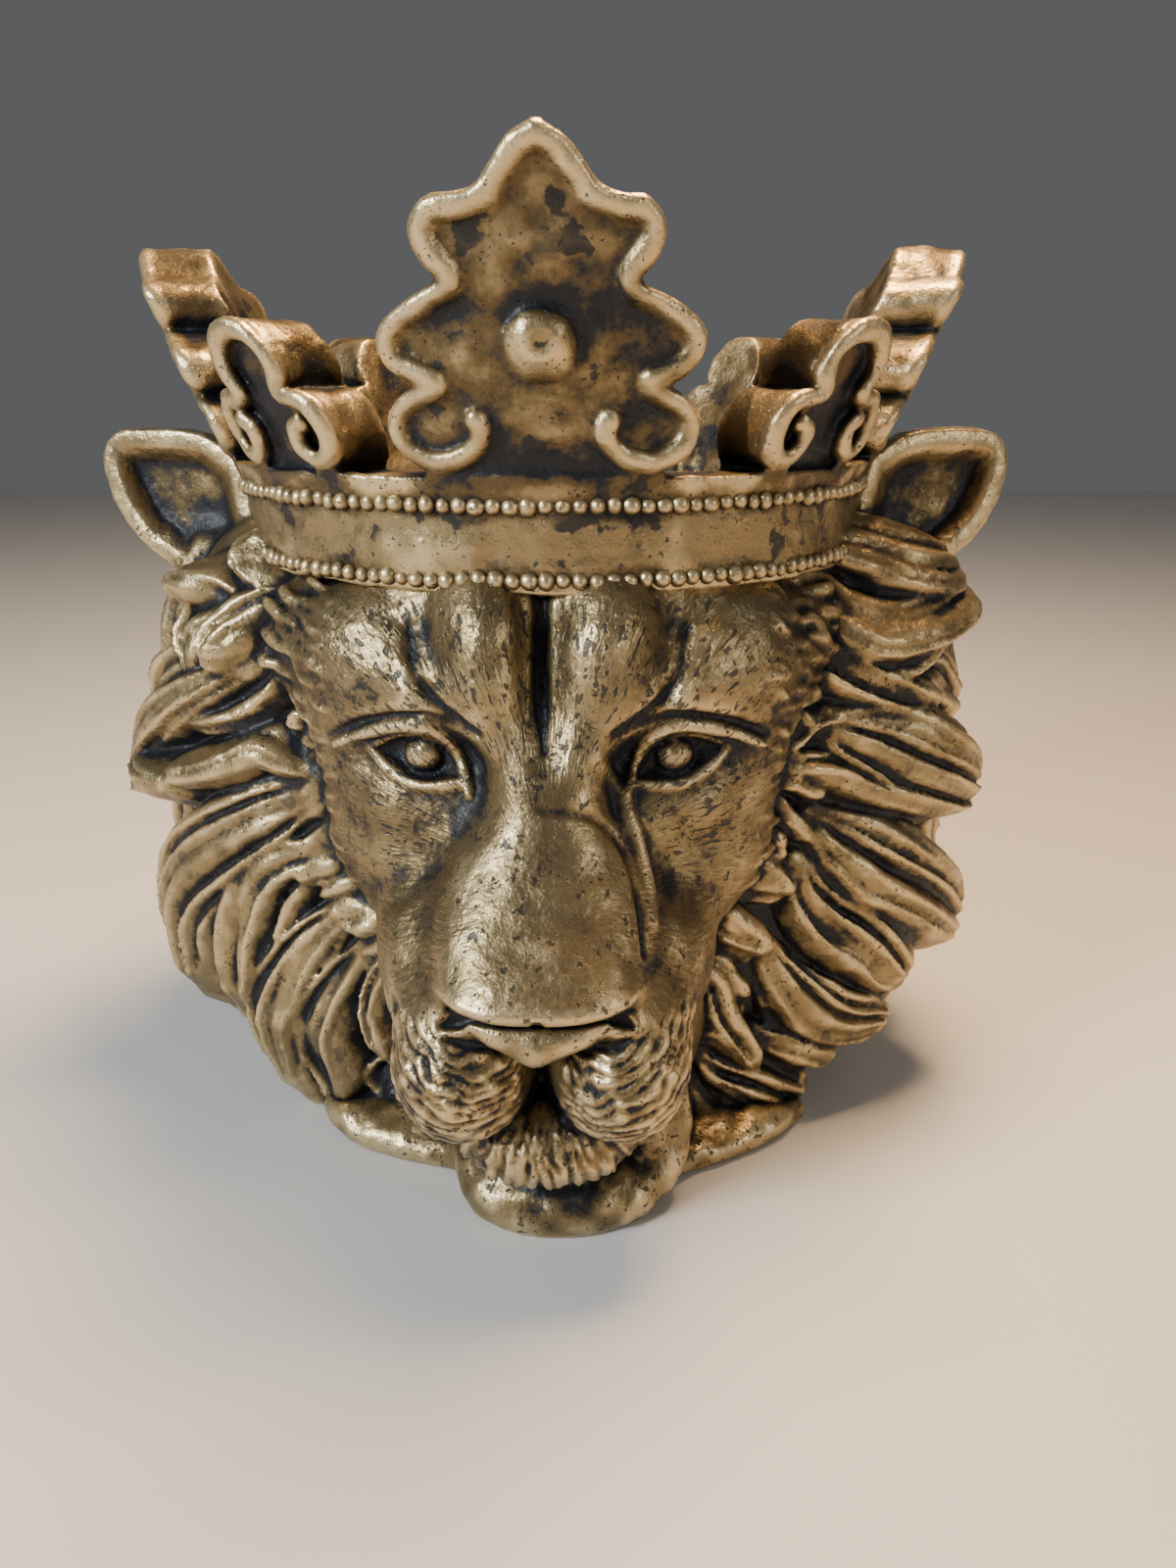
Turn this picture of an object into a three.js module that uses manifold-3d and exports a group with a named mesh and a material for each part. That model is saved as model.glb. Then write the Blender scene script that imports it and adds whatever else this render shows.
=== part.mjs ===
// A crowned lion's head, cast in one piece as a hollow planter that stands on its own flat underside.
// The crown is the rim of the pot: four tall points and four small ones, with the opening between them.
// Millimetres, +Z up, the lion looks along -Y, and the origin is on the underside at the crown's axis.
import * as THREE from 'three';
import { mergeVertices } from 'three/addons/utils/BufferGeometryUtils.js';
import Module from 'manifold-3d';

// The head, from the ground to the top of its skull. Its features are shares of this height.
const HEAD_HEIGHT = 250;

// The crown: its band, and the points that stand on it and lean outwards.
const CROWN_RADIUS = 127; // outside of the band, halfway up
const CROWN_WALL = 25;
const BAND_HEIGHT = 39; // from the lower edge to the dips between the points
const CROWN_SEAT = 8; // how far the band reaches down over the skull
const CROWN_FLARE = 0.42; // outward lean of the points, as a slope
const BEAD_RADIUS = 3.6;
const BEAD_ROW_SPACING = 25;
const TALL_POINT_HEIGHT = 95; // at the front
const OTHER_TALL_HEIGHT = 80; // at the sides and the back
const TALL_POINT_WIDTH = 103;
const SMALL_POINT_HEIGHT = 49;
const SMALL_POINT_WIDTH = 62;
const SMALL_POINTS_AROUND = [45, 135, 225, 317]; // degrees round from the nose
const POINT_THICKNESS = 27;
const ROPE_RADIUS = 3.6; // the raised border round each point
const BOSS_RADIUS = 12.5;

// The hollow: a neck inside the crown, and a belly that follows the head.
const NECK_DEPTH = 62; // from the dips between the points down to where the belly starts
const FLOOR_THICKNESS = 26;
const BELLY_LENGTH = 212; // front to back
const BELLY_WIDTH = 272; // side to side
const BELLY_SETBACK = 20; // how far its middle lies behind the crown's axis

// How fine the clay is, and how many faces are left once it is thinned.
const CELL = 3.6;
const FACES_KEPT = 8800;
const FACE_DETAIL = 5; // how much dearer a change of shape is on the lion's face than on its mane

const unit = HEAD_HEIGHT / 250; // the head's features below are given for a head of 250
const crownBottom = HEAD_HEIGHT - CROWN_SEAT;
const crownDips = crownBottom + BAND_HEIGHT;
const lowerBeads = crownBottom + (BAND_HEIGHT - BEAD_ROW_SPACING) / 2;
const upperBeads = lowerBeads + BEAD_ROW_SPACING;
const tipHeight = crownDips + TALL_POINT_HEIGHT;

const wasm = await Module();
wasm.setup();

const vec = (x, y, z) => new THREE.Vector3(x, y, z);
const radians = THREE.MathUtils.degToRad;
const ease = THREE.MathUtils.smoothstep;

// A column of a table, read between its rows by their first column.
function between(table, at, column) {
  const next = table.findIndex((row) => row[0] > at);
  if (next < 1) return table[next ? table.length - 1 : 0][column];
  const [a, b] = [table[next - 1], table[next]];
  return THREE.MathUtils.mapLinear(at, a[0], b[0], a[column], b[column]);
}

// Clay: a block of cells, each holding its distance to the surface, below zero inside.
class Clay {
  constructor(low, high, cell) {
    this.low = low;
    this.cell = cell;
    this.size = [0, 1, 2].map((i) => Math.ceil((high.getComponent(i) - low.getComponent(i)) / cell) + 1);
    this.value = new Float32Array(this.size[0] * this.size[1] * this.size[2]).fill(4 * cell);
  }

  // Changes every cell near a shape: mix(old distance, distance to the shape). The outermost cells stay
  // empty, so that the surface always closes.
  work(shape, margin, mix) {
    const { low, cell, size, value } = this;
    const from = [0, 1, 2].map((i) =>
      Math.max(1, Math.floor((shape.box.min.getComponent(i) - margin - low.getComponent(i)) / cell)));
    const to = [0, 1, 2].map((i) =>
      Math.min(size[i] - 2, Math.ceil((shape.box.max.getComponent(i) + margin - low.getComponent(i)) / cell)));
    for (let k = from[2]; k <= to[2]; k++)
      for (let j = from[1]; j <= to[1]; j++)
        for (let i = from[0]; i <= to[0]; i++) {
          const at = i + size[0] * (j + size[1] * k);
          value[at] = mix(value[at], shape.distance(low.x + i * cell, low.y + j * cell, low.z + k * cell));
        }
  }

  add(shape, blend = 6) {
    this.work(shape, blend + 3 * this.cell, (a, b) => softMin(a, b, blend));
  }

  carve(shape, blend = 4) {
    this.work(shape, blend + this.cell, (a, b) => -softMin(-a, b, blend));
  }
}

function softMin(a, b, blend) {
  const h = Math.max(blend - Math.abs(a - b), 0) / blend;
  return Math.min(a, b) - (h * h * blend) / 4;
}

// An egg: centre, the three radii, and its turn about X, Y and Z in degrees.
function egg(centre, radii, turn = [0, 0, 0]) {
  const c = vec(...centre).multiplyScalar(unit);
  const r = vec(...radii).multiplyScalar(unit);
  const reach = Math.max(r.x, r.y, r.z);
  const back = new THREE.Matrix4()
    .makeRotationFromEuler(new THREE.Euler(...turn.map(radians), 'ZYX'))
    .transpose();
  const p = vec(0, 0, 0);
  return {
    box: new THREE.Box3(c.clone().subScalar(reach), c.clone().addScalar(reach)),
    distance(x, y, z) {
      p.set(x - c.x, y - c.y, z - c.z).applyMatrix4(back);
      const k0 = Math.sqrt((p.x / r.x) ** 2 + (p.y / r.y) ** 2 + (p.z / r.z) ** 2);
      const k1 = Math.sqrt((p.x / r.x ** 2) ** 2 + (p.y / r.y ** 2) ** 2 + (p.z / r.z ** 2) ** 2);
      return k1 < 1e-9 ? -Math.min(r.x, r.y, r.z) : (k0 * (k0 - 1)) / k1;
    },
  };
}

// A strand: a round bar along a smooth curve through the points, its radius running through the radii.
function strand(points, radii, steps = 2 * (points.length - 1)) {
  const curve = new THREE.CatmullRomCurve3(points, false, 'centripetal');
  const along = curve.getPoints(steps);
  const radius = along.map((_, i) => {
    const t = (i / steps) * (radii.length - 1);
    const n = Math.min(Math.floor(t), radii.length - 2);
    return THREE.MathUtils.lerp(radii[n], radii[n + 1], t - n);
  });
  const box = new THREE.Box3().setFromPoints(along).expandByScalar(Math.max(...radii));
  const step = along.slice(1).map((p, i) => p.clone().sub(along[i]));
  const squared = step.map((s) => s.lengthSq());
  return {
    box,
    distance(x, y, z) {
      let best = Infinity;
      for (let i = 0; i < steps; i++) {
        const s = step[i];
        const dx = x - along[i].x;
        const dy = y - along[i].y;
        const dz = z - along[i].z;
        const t = Math.min(Math.max((dx * s.x + dy * s.y + dz * s.z) / squared[i], 0), 1);
        const gap = Math.sqrt((dx - t * s.x) ** 2 + (dy - t * s.y) ** 2 + (dz - t * s.z) ** 2);
        best = Math.min(best, gap - radius[i] - t * (radius[i + 1] - radius[i]));
      }
      return best;
    },
  };
}

const place = (points) => points.map((p) => vec(...p).multiplyScalar(unit));
const sizes = (radii) => radii.map((r) => r * unit);
const bar = (points, radii) => strand(place(points), sizes(radii));

// The skull, the plain mass of the mane, and the neck that the head stands on.
function shapeHead(clay) {
  clay.add(egg([0, 18, 142], [146, 114, 128]));
  clay.add(egg([0, 22, 74], [142, 110, 82]), 30);
  clay.add(egg([0, 8, 12], [118, 108, 46]), 20);
  clay.add(egg([0, 0, 215], [128, 122, 52]), 20);
  clay.add(egg([0, -34, 206], [90, 88, 54]), 14);
  clay.add(egg([0, -42, 160], [85, 82, 84]), 14);
  clay.add(egg([0, -84, 60], [58, 62, 54]), 14);
  clay.add(wrappedMane(() => MANE_FLOOR), 8);
}

// The nose, by rows of height, middle, half width, front and squareness. It overhangs the mouth.
const NOSE_ROWS = [
  [108, -2.5, 33, -186, 3.2], [116, -2.5, 35, -186, 3], [124, -2.5, 34.5, -179, 2.8], [138, -2, 34, -167, 2.6],
  [153, -1.5, 30, -157, 2.4], [166, -1, 25, -150, 2.3], [179, -0.5, 20, -144, 2.2], [196, 0, 14, -137, 2],
  [214, 0, 10, -124, 2],
];
const NOSE_DEPTH = 32;
const MUZZLE_MIDDLE = -2.5; // the nose and mouth stand a little to the lion's right

function nose() {
  const box = new THREE.Box3(vec(-44, -194, 106), vec(40, -108, 214));
  box.min.multiplyScalar(unit);
  box.max.multiplyScalar(unit);
  return {
    box,
    distance(x, y, z) {
      const height = z / unit;
      const [middle, half, front, square] = [1, 2, 3, 4].map((column) => between(NOSE_ROWS, height, column));
      const across = Math.abs(x / unit - middle) / half;
      const ahead = Math.max(front + NOSE_DEPTH - y / unit, 0) / NOSE_DEPTH;
      const share = (across ** square + ahead ** square) ** (1 / square);
      const body = (share - 1) * 0.8 * Math.min(half, NOSE_DEPTH);
      const underside = 111.5 + 0.0025 * (x / unit - middle) ** 2 - height;
      return -softMin(-body, -underside, 4) * unit;
    },
  };
}

// The face: cheeks, brows, eyes, nose, whisker pads and chin, and the slabs that it stands on.
function shapeFace(clay) {
  clay.add(egg([0, -108, 112], [54, 54, 42]), 24);
  for (const side of [1, -1]) {
    clay.add(egg([50 * side, -86, 146], [33, 31, 36], [0, 0, 25 * side]), 18);
    clay.add(egg([66 * side, -80, 192], [24, 28, 38]), 16);
    clay.add(bar(
      [[24 * side, -118, 203], [44 * side, -115, 208], [64 * side, -102, 207], [80 * side, -81, 199]],
      [9, 13, 13, 9]), 12);
    clay.add(egg([60 * side, -92, 219], [26, 22, 20], [0, 0, 28 * side]), 14);
    clay.add(egg([22 * side, -110, 221], [20, 29, 31], [0, 6 * side, -8 * side]), 5);
    clay.add(bar(
      [[22 * side, -125, 208], [17 * side, -128, 198], [12 * side, -131, 187], [9 * side, -135, 176]],
      [12, 9, 7, 5]), 9);
    clay.add(egg([MUZZLE_MIDDLE + 43 * side, -116, 105], [17, 33, 27]), 12);
    clay.add(egg([46 * side, -103, 166], [22, 20, 13], [0, 0, 20 * side]), 12);
  }
  clay.add(nose(), 9);
  for (const side of [1, -1]) {
    clay.add(egg([MUZZLE_MIDDLE + 28 * side, -144, 99], [24, 32, 18]), 8);
    clay.add(egg([MUZZLE_MIDDLE + 27.5 * side, -148, 80], [26, 36, 29], [2, 8 * side, 6 * side]), 5);
    clay.carve(egg([46 * side, -126, 183], [17, 11, 8], [0, -6 * side, 20 * side]), 4);
    clay.add(egg([44.5 * side, -113, 183], [9, 9, 8]), 2);
    clay.add(bar(
      [[28 * side, -127, 172], [37 * side, -127, 191], [48 * side, -124, 195], [79 * side, -95, 184]],
      [2.4, 3, 3.2, 2]), 2);
    clay.add(bar(
      [[29 * side, -125, 176], [42 * side, -122, 173], [57 * side, -116, 177], [67 * side, -108, 184]],
      [2, 2.6, 2.6, 2]), 2);
    clay.carve(
      bar([[48 * side, -114, 232], [44 * side, -126, 212], [24 * side, -140, 196]], [3, 3.4, 2.4]), 4);
    const aside = (x) => MUZZLE_MIDDLE + x * side;
    clay.add(bar([[-3, -178, 101], [aside(14), -176, 104.5], [aside(27), -171, 107]], [8, 6, 3.5]), 3);
    clay.carve(bar([[aside(20), -182, 108], [aside(30), -176, 106.5]], [2.4, 3.2]), 2);
  }
  clay.carve(bar([[-2, -144, 250], [-2, -143, 222], [-2, -142, 194]], [5, 5, 3]), 6);
  clay.carve(bar([[-3, -192, 92], [-3, -186, 78], [-3, -172, 62]], [2.5, 4, 5]), 4);
  clay.add(egg([-1, -133, 45], [37, 34, 24]), 3);
  clay.add(egg([4, -106, 10], [44, 46, 21]), 6);
  clay.add(bar([[-27, -136, 9], [-9, -143, 7], [12, -143, 7], [31, -137, 9], [46, -126, 20], [48, -112, 42]],
    [6.5, 8, 8, 7.5, 6, 4]), 9);
  clay.add(egg([-62, -84, 7], [40, 20, 10], [0, 0, -18]), 6);
  clay.add(bar([[-97, -78, 11], [-66, -98, 5], [-30, -114, 8]], [4, 5.5, 5.5]), 8);
  clay.add(egg([66, -84, 6], [42, 20, 9], [0, 0, 20]), 6);
  clay.add(bar([[42, -118, 6], [84, -91, 4], [106, -72, 4]], [5.5, 5, 4]), 8);
}

// The mane laid flat: MANE_DEGREE millimetres to the degree round from the nose, by height. Every lock is
// drawn on it as how far it stands off the mane, and the drawing is then wrapped round the head.
const MANE_SEAT = 18; // of the mane's middle, behind the crown's axis
const MANE_WIDE = 150;
const MANE_DEEP = 118;
const MANE_FULL = 26; // how much further it stands out at the ears and behind them
const MANE_MIDDLE = 122;
const MANE_FOOT = -18;
const MANE_TOP = 250;
const MANE_DEGREE = 2.6;
const MANE_FLOOR = -9;
const MANE_GRID = 2;

// How far the mane has drawn in at a height, as a share of its widest.
function maneGirth(around, height) {
  const away = Math.abs(around);
  const top = MANE_TOP + 18 * ease(away, 40, 52) * (1 - ease(away, 80, 96));
  const above = THREE.MathUtils.clamp((height - MANE_MIDDLE) / (top - MANE_MIDDLE), 0, 1);
  const below = THREE.MathUtils.clamp((MANE_MIDDLE - height) / (MANE_MIDDLE - MANE_FOOT), 0, 1);
  const tuck = 1 - (1 - below ** 3.2) ** (1 / 3.2);
  return Math.min((1 - above ** 5) ** 0.2, 1 - tuck * (0.3 + 0.7 * ease(away, 40, 66)));
}

// The mane's half width and half depth in that direction, at that height and lift.
function maneReach(around, height, lift) {
  const full = MANE_FULL * ease(Math.abs(around), 34, 74);
  const girth = maneGirth(around, height);
  return [(MANE_WIDE + full) * girth + lift, (MANE_DEEP + full) * girth + lift];
}

function wrappedMane(liftAt) {
  const box = new THREE.Box3(vec(-200, -160, -20), vec(200, 184, 270));
  box.min.multiplyScalar(unit);
  box.max.multiplyScalar(unit);
  return {
    box,
    distance(x, y, z) {
      const [px, py, height] = [x / unit, MANE_SEAT - y / unit, z / unit];
      let around = THREE.MathUtils.radToDeg(Math.atan2(px * MANE_DEEP, py * MANE_WIDE));
      for (let i = 0; i < 2; i++) {
        const [wide, deep] = maneReach(around, height, 4);
        around = THREE.MathUtils.radToDeg(Math.atan2(px * deep, py * wide));
      }
      const [wide, deep] = maneReach(around, height, liftAt(around, height));
      const reach = Math.hypot(wide * Math.sin(radians(around)), deep * Math.cos(radians(around)));
      return 0.7 * unit * (Math.hypot(px, py) - reach);
    },
  };
}

// A lock: its path by degrees round and height, its width, how many ridges it has, and its lift.
const LEFT_LOCKS = [
  { path: [[55, 232], [60, 221], [60, 204]], width: 26, ridges: 1, lift: 8 },
  { path: [[62, 60], [70, 40], [72, 8]], width: 34, ridges: 2, lift: 5 },
  { path: [[82, 240], [87, 200], [86, 158]], width: 40, ridges: 2, lift: 9 },
  { path: [[82, 150], [90, 105], [88, 58]], width: 38, ridges: 2, lift: 8 },
  { path: [[60, 208], [67, 195], [75, 176]], width: 18, ridges: 1, lift: 10 },
  { path: [[40, 236], [49, 241], [55, 253]], width: 20, ridges: 1, lift: 12 },
  { path: [[50, 226], [58, 230], [68, 232]], width: 18, ridges: 1, lift: 12 },
  { path: [[40, 230], [46, 230], [50, 226], [52, 218], [53, 206]], width: 21, ridges: 1, lift: 14 },
  { path: [[47, 206], [56, 194], [66, 179], [75, 162], [75, 147], [64, 149]], width: 17, ridges: 1, lift: 21 },
  { path: [[37, 161], [43, 165], [47, 169], [54, 161], [66, 150]], width: 14, ridges: 1, lift: 14 },
  { path: [[39, 154], [47, 143], [55, 127], [63, 104], [69, 76], [71, 45]], width: 42, ridges: 3, lift: 18 },
  { path: [[37, 131], [45, 118], [50, 99], [53, 78], [53, 52]], width: 28, ridges: 2, lift: 16 },
  { path: [[34, 105], [42, 85], [47, 65], [48, 43], [46, 10]], width: 30, ridges: 2, lift: 17 },
  { path: [[31, 90], [38, 69], [40, 50], [39, 34], [37, 10]], width: 24, ridges: 1, lift: 15 },
  { path: [[24, 93], [28, 77], [30, 60], [28, 44]], width: 16, ridges: 1, lift: 10 },
];
const RIGHT_LOCKS = [
  { path: [[80, 238], [86, 200], [88, 162]], width: 40, ridges: 2, lift: 9 },
  { path: [[80, 150], [87, 105], [86, 60]], width: 38, ridges: 2, lift: 8 },
  { path: [[62, 60], [70, 40], [73, 10]], width: 34, ridges: 2, lift: 5 },
  { path: [[62, 200], [72, 190], [80, 172]], width: 26, ridges: 1, lift: 8 },
  { path: [[38, 210], [43, 209], [49, 199], [62, 186]], width: 18, ridges: 1, lift: 12 },
  { path: [[41, 230], [46, 222], [51, 214], [60, 214], [80, 223]], width: 18, ridges: 1, lift: 18 },
  { path: [[49, 252], [56, 248], [62, 238], [75, 233]], width: 34, ridges: 2, lift: 16 },
  { path: [[38, 167], [44, 163], [51, 152], [69, 133]], width: 14, ridges: 1, lift: 14 },
  { path: [[45, 182], [53, 172], [61, 161], [78, 136]], width: 38, ridges: 3, lift: 21 },
  { path: [[44, 140], [51, 126], [59, 107], [76, 70]], width: 40, ridges: 3, lift: 20 },
  { path: [[41, 122], [46, 99], [52, 83], [61, 58]], width: 29, ridges: 2, lift: 16 },
  { path: [[36, 87], [41, 64], [48, 48], [62, 33]], width: 28, ridges: 2, lift: 16 },
  { path: [[20, 95], [25, 105], [29, 100], [34, 90]], width: 15, ridges: 1, lift: 10 },
  { path: [[21, 87], [26, 76], [28, 57], [34, 33]], width: 17, ridges: 1, lift: 10 },
  { path: [[24, 44], [30, 30], [37, 20], [46, 10]], width: 23, ridges: 2, lift: 14 },
  { path: [[26, 24], [33, 12], [42, 3]], width: 17, ridges: 1, lift: 14 },
];

// The locks behind the ears and down the back of the head, in rows that overlap like tiles.
const BACK_ROWS = [
  { top: 112, bottom: 6, count: 9, width: 46, lift: 7 },
  { top: 182, bottom: 84, count: 8, width: 52, lift: 10 },
  { top: 240, bottom: 150, count: 9, width: 48, lift: 9 },
];

// How a lock's width and lift run from its root to its tip, by the share of the way along.
const LOCK_WIDTH = [[0, 0.4], [0.2, 0.75], [0.5, 1], [0.85, 0.85], [1, 0.5]];
const LOCK_LIFT = [[0, 0.12], [0.25, 0.55], [0.7, 1], [0.93, 1.04], [1, 0.8]];

// One lock, as a function of a place on the flat mane: ridges side by side with deep grooves between them.
function lockLift({ path, width, ridges, lift }) {
  const places = path.map(([around, height]) => vec(around * MANE_DEGREE, height, 0));
  const line = new THREE.CatmullRomCurve3(places).getPoints(5 * (path.length - 1));
  const deepest = Math.min((0.62 * width) / (ridges + 0.2), 8);
  return (across, up) => {
    let [gap, along, aside] = [Infinity, 0, 0];
    for (let i = 1; i < line.length; i++) {
      const [p, q] = [line[i - 1], line[i]];
      const [run, rise] = [q.x - p.x, q.y - p.y];
      const squared = run * run + rise * rise;
      const t = THREE.MathUtils.clamp(((across - p.x) * run + (up - p.y) * rise) / squared, 0, 1);
      const away = Math.hypot(across - p.x - t * run, up - p.y - t * rise);
      if (away >= gap) continue;
      gap = away;
      along = (i - 1 + t) / (line.length - 1);
      aside = ((across - p.x) * rise - (up - p.y) * run) / Math.sqrt(squared);
    }
    const half = 0.5 * width * between(LOCK_WIDTH, along, 1);
    if (gap > 2 * half + 6) return MANE_FLOOR;
    const place = 0.4 + ridges * (0.5 + (0.5 * aside) / half);
    const share = place - Math.floor(place);
    const valley = share < 0.66 ? share / 0.66 : (1 - share) / 0.34;
    const deep = deepest * ease(along, -0.02, 0.2) * (1 - 0.75 * ease(along, 0.86, 1));
    const rounding = Math.max(1 - (gap / half) ** 2, 0);
    return lift * between(LOCK_LIFT, along, 1) - 0.3 * half * (1 - Math.sqrt(rounding)) -
      2.2 * Math.max(gap - half, 0) - deep * valley ** 1.25;
  };
}

function backLocks() {
  const locks = [];
  for (const { top, bottom, count, width, lift } of BACK_ROWS)
    for (let i = 0; i < count; i++) {
      const around = 84 + (192 * (i + 0.5)) / count;
      const swing = i % 2 ? 7 : -7;
      const path = [[around, top], [around + swing, 0.6 * top + 0.4 * bottom], [around + 0.4 * swing, bottom]];
      locks.push({ path, width, ridges: 2, lift: lift + (i % 3) });
    }
  return locks;
}

// The mane, as a grid of lifts read between its places. The back locks are drawn from both of its ends.
function shapeMane(clay) {
  const moved = (lock, side, turn) => ({ ...lock, path: lock.path.map(([a, h]) => [side * a + turn, h]) });
  const back = backLocks();
  const left = LEFT_LOCKS.map((lock) => moved(lock, -1, 0));
  const drawn = [...back, ...back.map((lock) => moved(lock, 1, -360)), ...left, ...RIGHT_LOCKS];
  const [start, low] = [-180 * MANE_DEGREE, -16];
  const columns = Math.ceil((-2 * start) / MANE_GRID) + 1;
  const rows = Math.ceil(290 / MANE_GRID) + 1;
  const lifts = new Float32Array(columns * rows).fill(MANE_FLOOR);
  for (const lock of drawn) {
    const lift = lockLift(lock);
    const xs = lock.path.map(([around]) => around * MANE_DEGREE);
    const ys = lock.path.map(([, height]) => height);
    const first = (values, edge) =>
      Math.max(Math.floor((Math.min(...values) - lock.width - edge) / MANE_GRID), 0);
    const last = (values, edge, count) =>
      Math.min(Math.ceil((Math.max(...values) + lock.width - edge) / MANE_GRID), count - 1);
    for (let i = first(xs, start); i <= last(xs, start, columns); i++)
      for (let j = first(ys, low); j <= last(ys, low, rows); j++) {
        const at = i + columns * j;
        lifts[at] = -softMin(-lifts[at], -lift(start + i * MANE_GRID, low + j * MANE_GRID), 1);
      }
  }
  clay.add(wrappedMane((around, height) => {
    const u = THREE.MathUtils.clamp((around * MANE_DEGREE - start) / MANE_GRID, 0, columns - 1.01);
    const v = THREE.MathUtils.clamp((height - low) / MANE_GRID, 0, rows - 1.01);
    const [i, j] = [Math.floor(u), Math.floor(v)];
    const row = (n) => THREE.MathUtils.lerp(lifts[i + columns * n], lifts[i + 1 + columns * n], u - i);
    return THREE.MathUtils.lerp(row(j), row(j + 1), v - j);
  }), 1);
}

// The ears: cups with a thick rim, flat on top and drawn to a point below, behind the crown's band.
const EAR_OUTLINE = [[131, 279], [147, 289], [170, 291], [189, 289], [196, 279], [193, 262], [184, 246], [170, 235],
  [152, 224], [134, 232], [127, 256], [131, 279]];
const EAR_CUP = 8;
const EAR_RIM = 4;

function ear(side) {
  const box = new THREE.Box3().setFromPoints(place([[side * 118, -22, 218], [side * 206, 38, 299]]));
  return {
    box,
    distance(x, y, z) {
      const [across, height] = [(side * x) / unit, z / unit];
      const isIn = isInside(across, height, EAR_OUTLINE);
      const edge = lineDistance(across, height, EAR_OUTLINE) * (isIn ? -1 : 1) + 3;
      const out = 2 + 0.3 * (across - 160) - y / unit;
      const back = 6 + 16 * Math.sqrt(THREE.MathUtils.clamp(-edge / 26, 0, 1));
      const body = Math.max(edge, out - 4, -out - back);
      const cup = Math.min(EAR_CUP, 1.1 * Math.max(-edge - EAR_RIM, 0));
      return (Math.max(body, Math.min(out - 4 + cup, 9)) - 3) * unit;
    },
  };
}

function shapeEars(clay) {
  for (const side of [1, -1]) {
    clay.add(ear(side), 4);
    clay.add(bar([[146 * side, 14, 238], [128 * side, 8, 214]], [20, 15]), 6);
  }
}

// The rope that edges each kind of point: half of it, from the tip down to the end of its scroll, as shares
// of half the width and of the height. The plate fills it down to the scroll's lowest place.
const TALL_ROPE = [[0, 1], [0.13, 0.965], [0.22, 0.905], [0.3, 0.85], [0.43, 0.82], [0.62, 0.805],
  [0.7, 0.755], [0.65, 0.69], [0.55, 0.625], [0.58, 0.575], [0.76, 0.53], [0.94, 0.475], [1, 0.415],
  [0.95, 0.36], [0.82, 0.32], [0.69, 0.285], [0.77, 0.25], [0.92, 0.21], [1, 0.15], [0.94, 0.06],
  [0.72, 0.01], [0.54, 0.03], [0.43, 0.08], [0.41, 0.13], [0.44, 0.16]];
const SMALL_ROPE = [[0, 1], [0.26, 0.97], [0.47, 0.85], [0.54, 0.68], [0.43, 0.52], [0.6, 0.48], [0.82, 0.46],
  [0.97, 0.36], [1, 0.2], [0.9, 0.06], [0.7, 0.01], [0.5, 0.09], [0.46, 0.24], [0.6, 0.3]];

const FRONT_POINT = {
  width: TALL_POINT_WIDTH, height: TALL_POINT_HEIGHT, rope: TALL_ROPE, lowest: 20, recess: 1, bossed: true };
const TALL_POINT = { ...FRONT_POINT, height: OTHER_TALL_HEIGHT };
const SMALL_POINT = {
  width: SMALL_POINT_WIDTH, height: SMALL_POINT_HEIGHT, rope: SMALL_ROPE, lowest: 10, recess: 4, bossed: false };

// Distance from a place to a run of straight lines.
function lineDistance(x, y, line) {
  let best = Infinity;
  for (let i = 1; i < line.length; i++) {
    const [ax, ay] = line[i - 1];
    const [bx, by] = [line[i][0] - ax, line[i][1] - ay];
    const t = THREE.MathUtils.clamp(((x - ax) * bx + (y - ay) * by) / (bx * bx + by * by), 0, 1);
    best = Math.min(best, Math.hypot(x - ax - t * bx, y - ay - t * by));
  }
  return best;
}

function isInside(x, y, line) {
  let inside = false;
  for (let i = 1; i < line.length; i++) {
    const [ax, ay] = line[i - 1];
    const [bx, by] = line[i];
    if (ay > y !== by > y && x < ax + ((y - ay) / (by - ay)) * (bx - ax)) inside = !inside;
  }
  return inside;
}

// The crown's outside radius at a height: nearly upright along the band, then leaning out.
const crownRadius = (z) => CROWN_RADIUS + 0.12 * (z - crownBottom - BAND_HEIGHT / 2) +
  (CROWN_FLARE - 0.12) * Math.max(z - upperBeads, 0);

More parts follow.
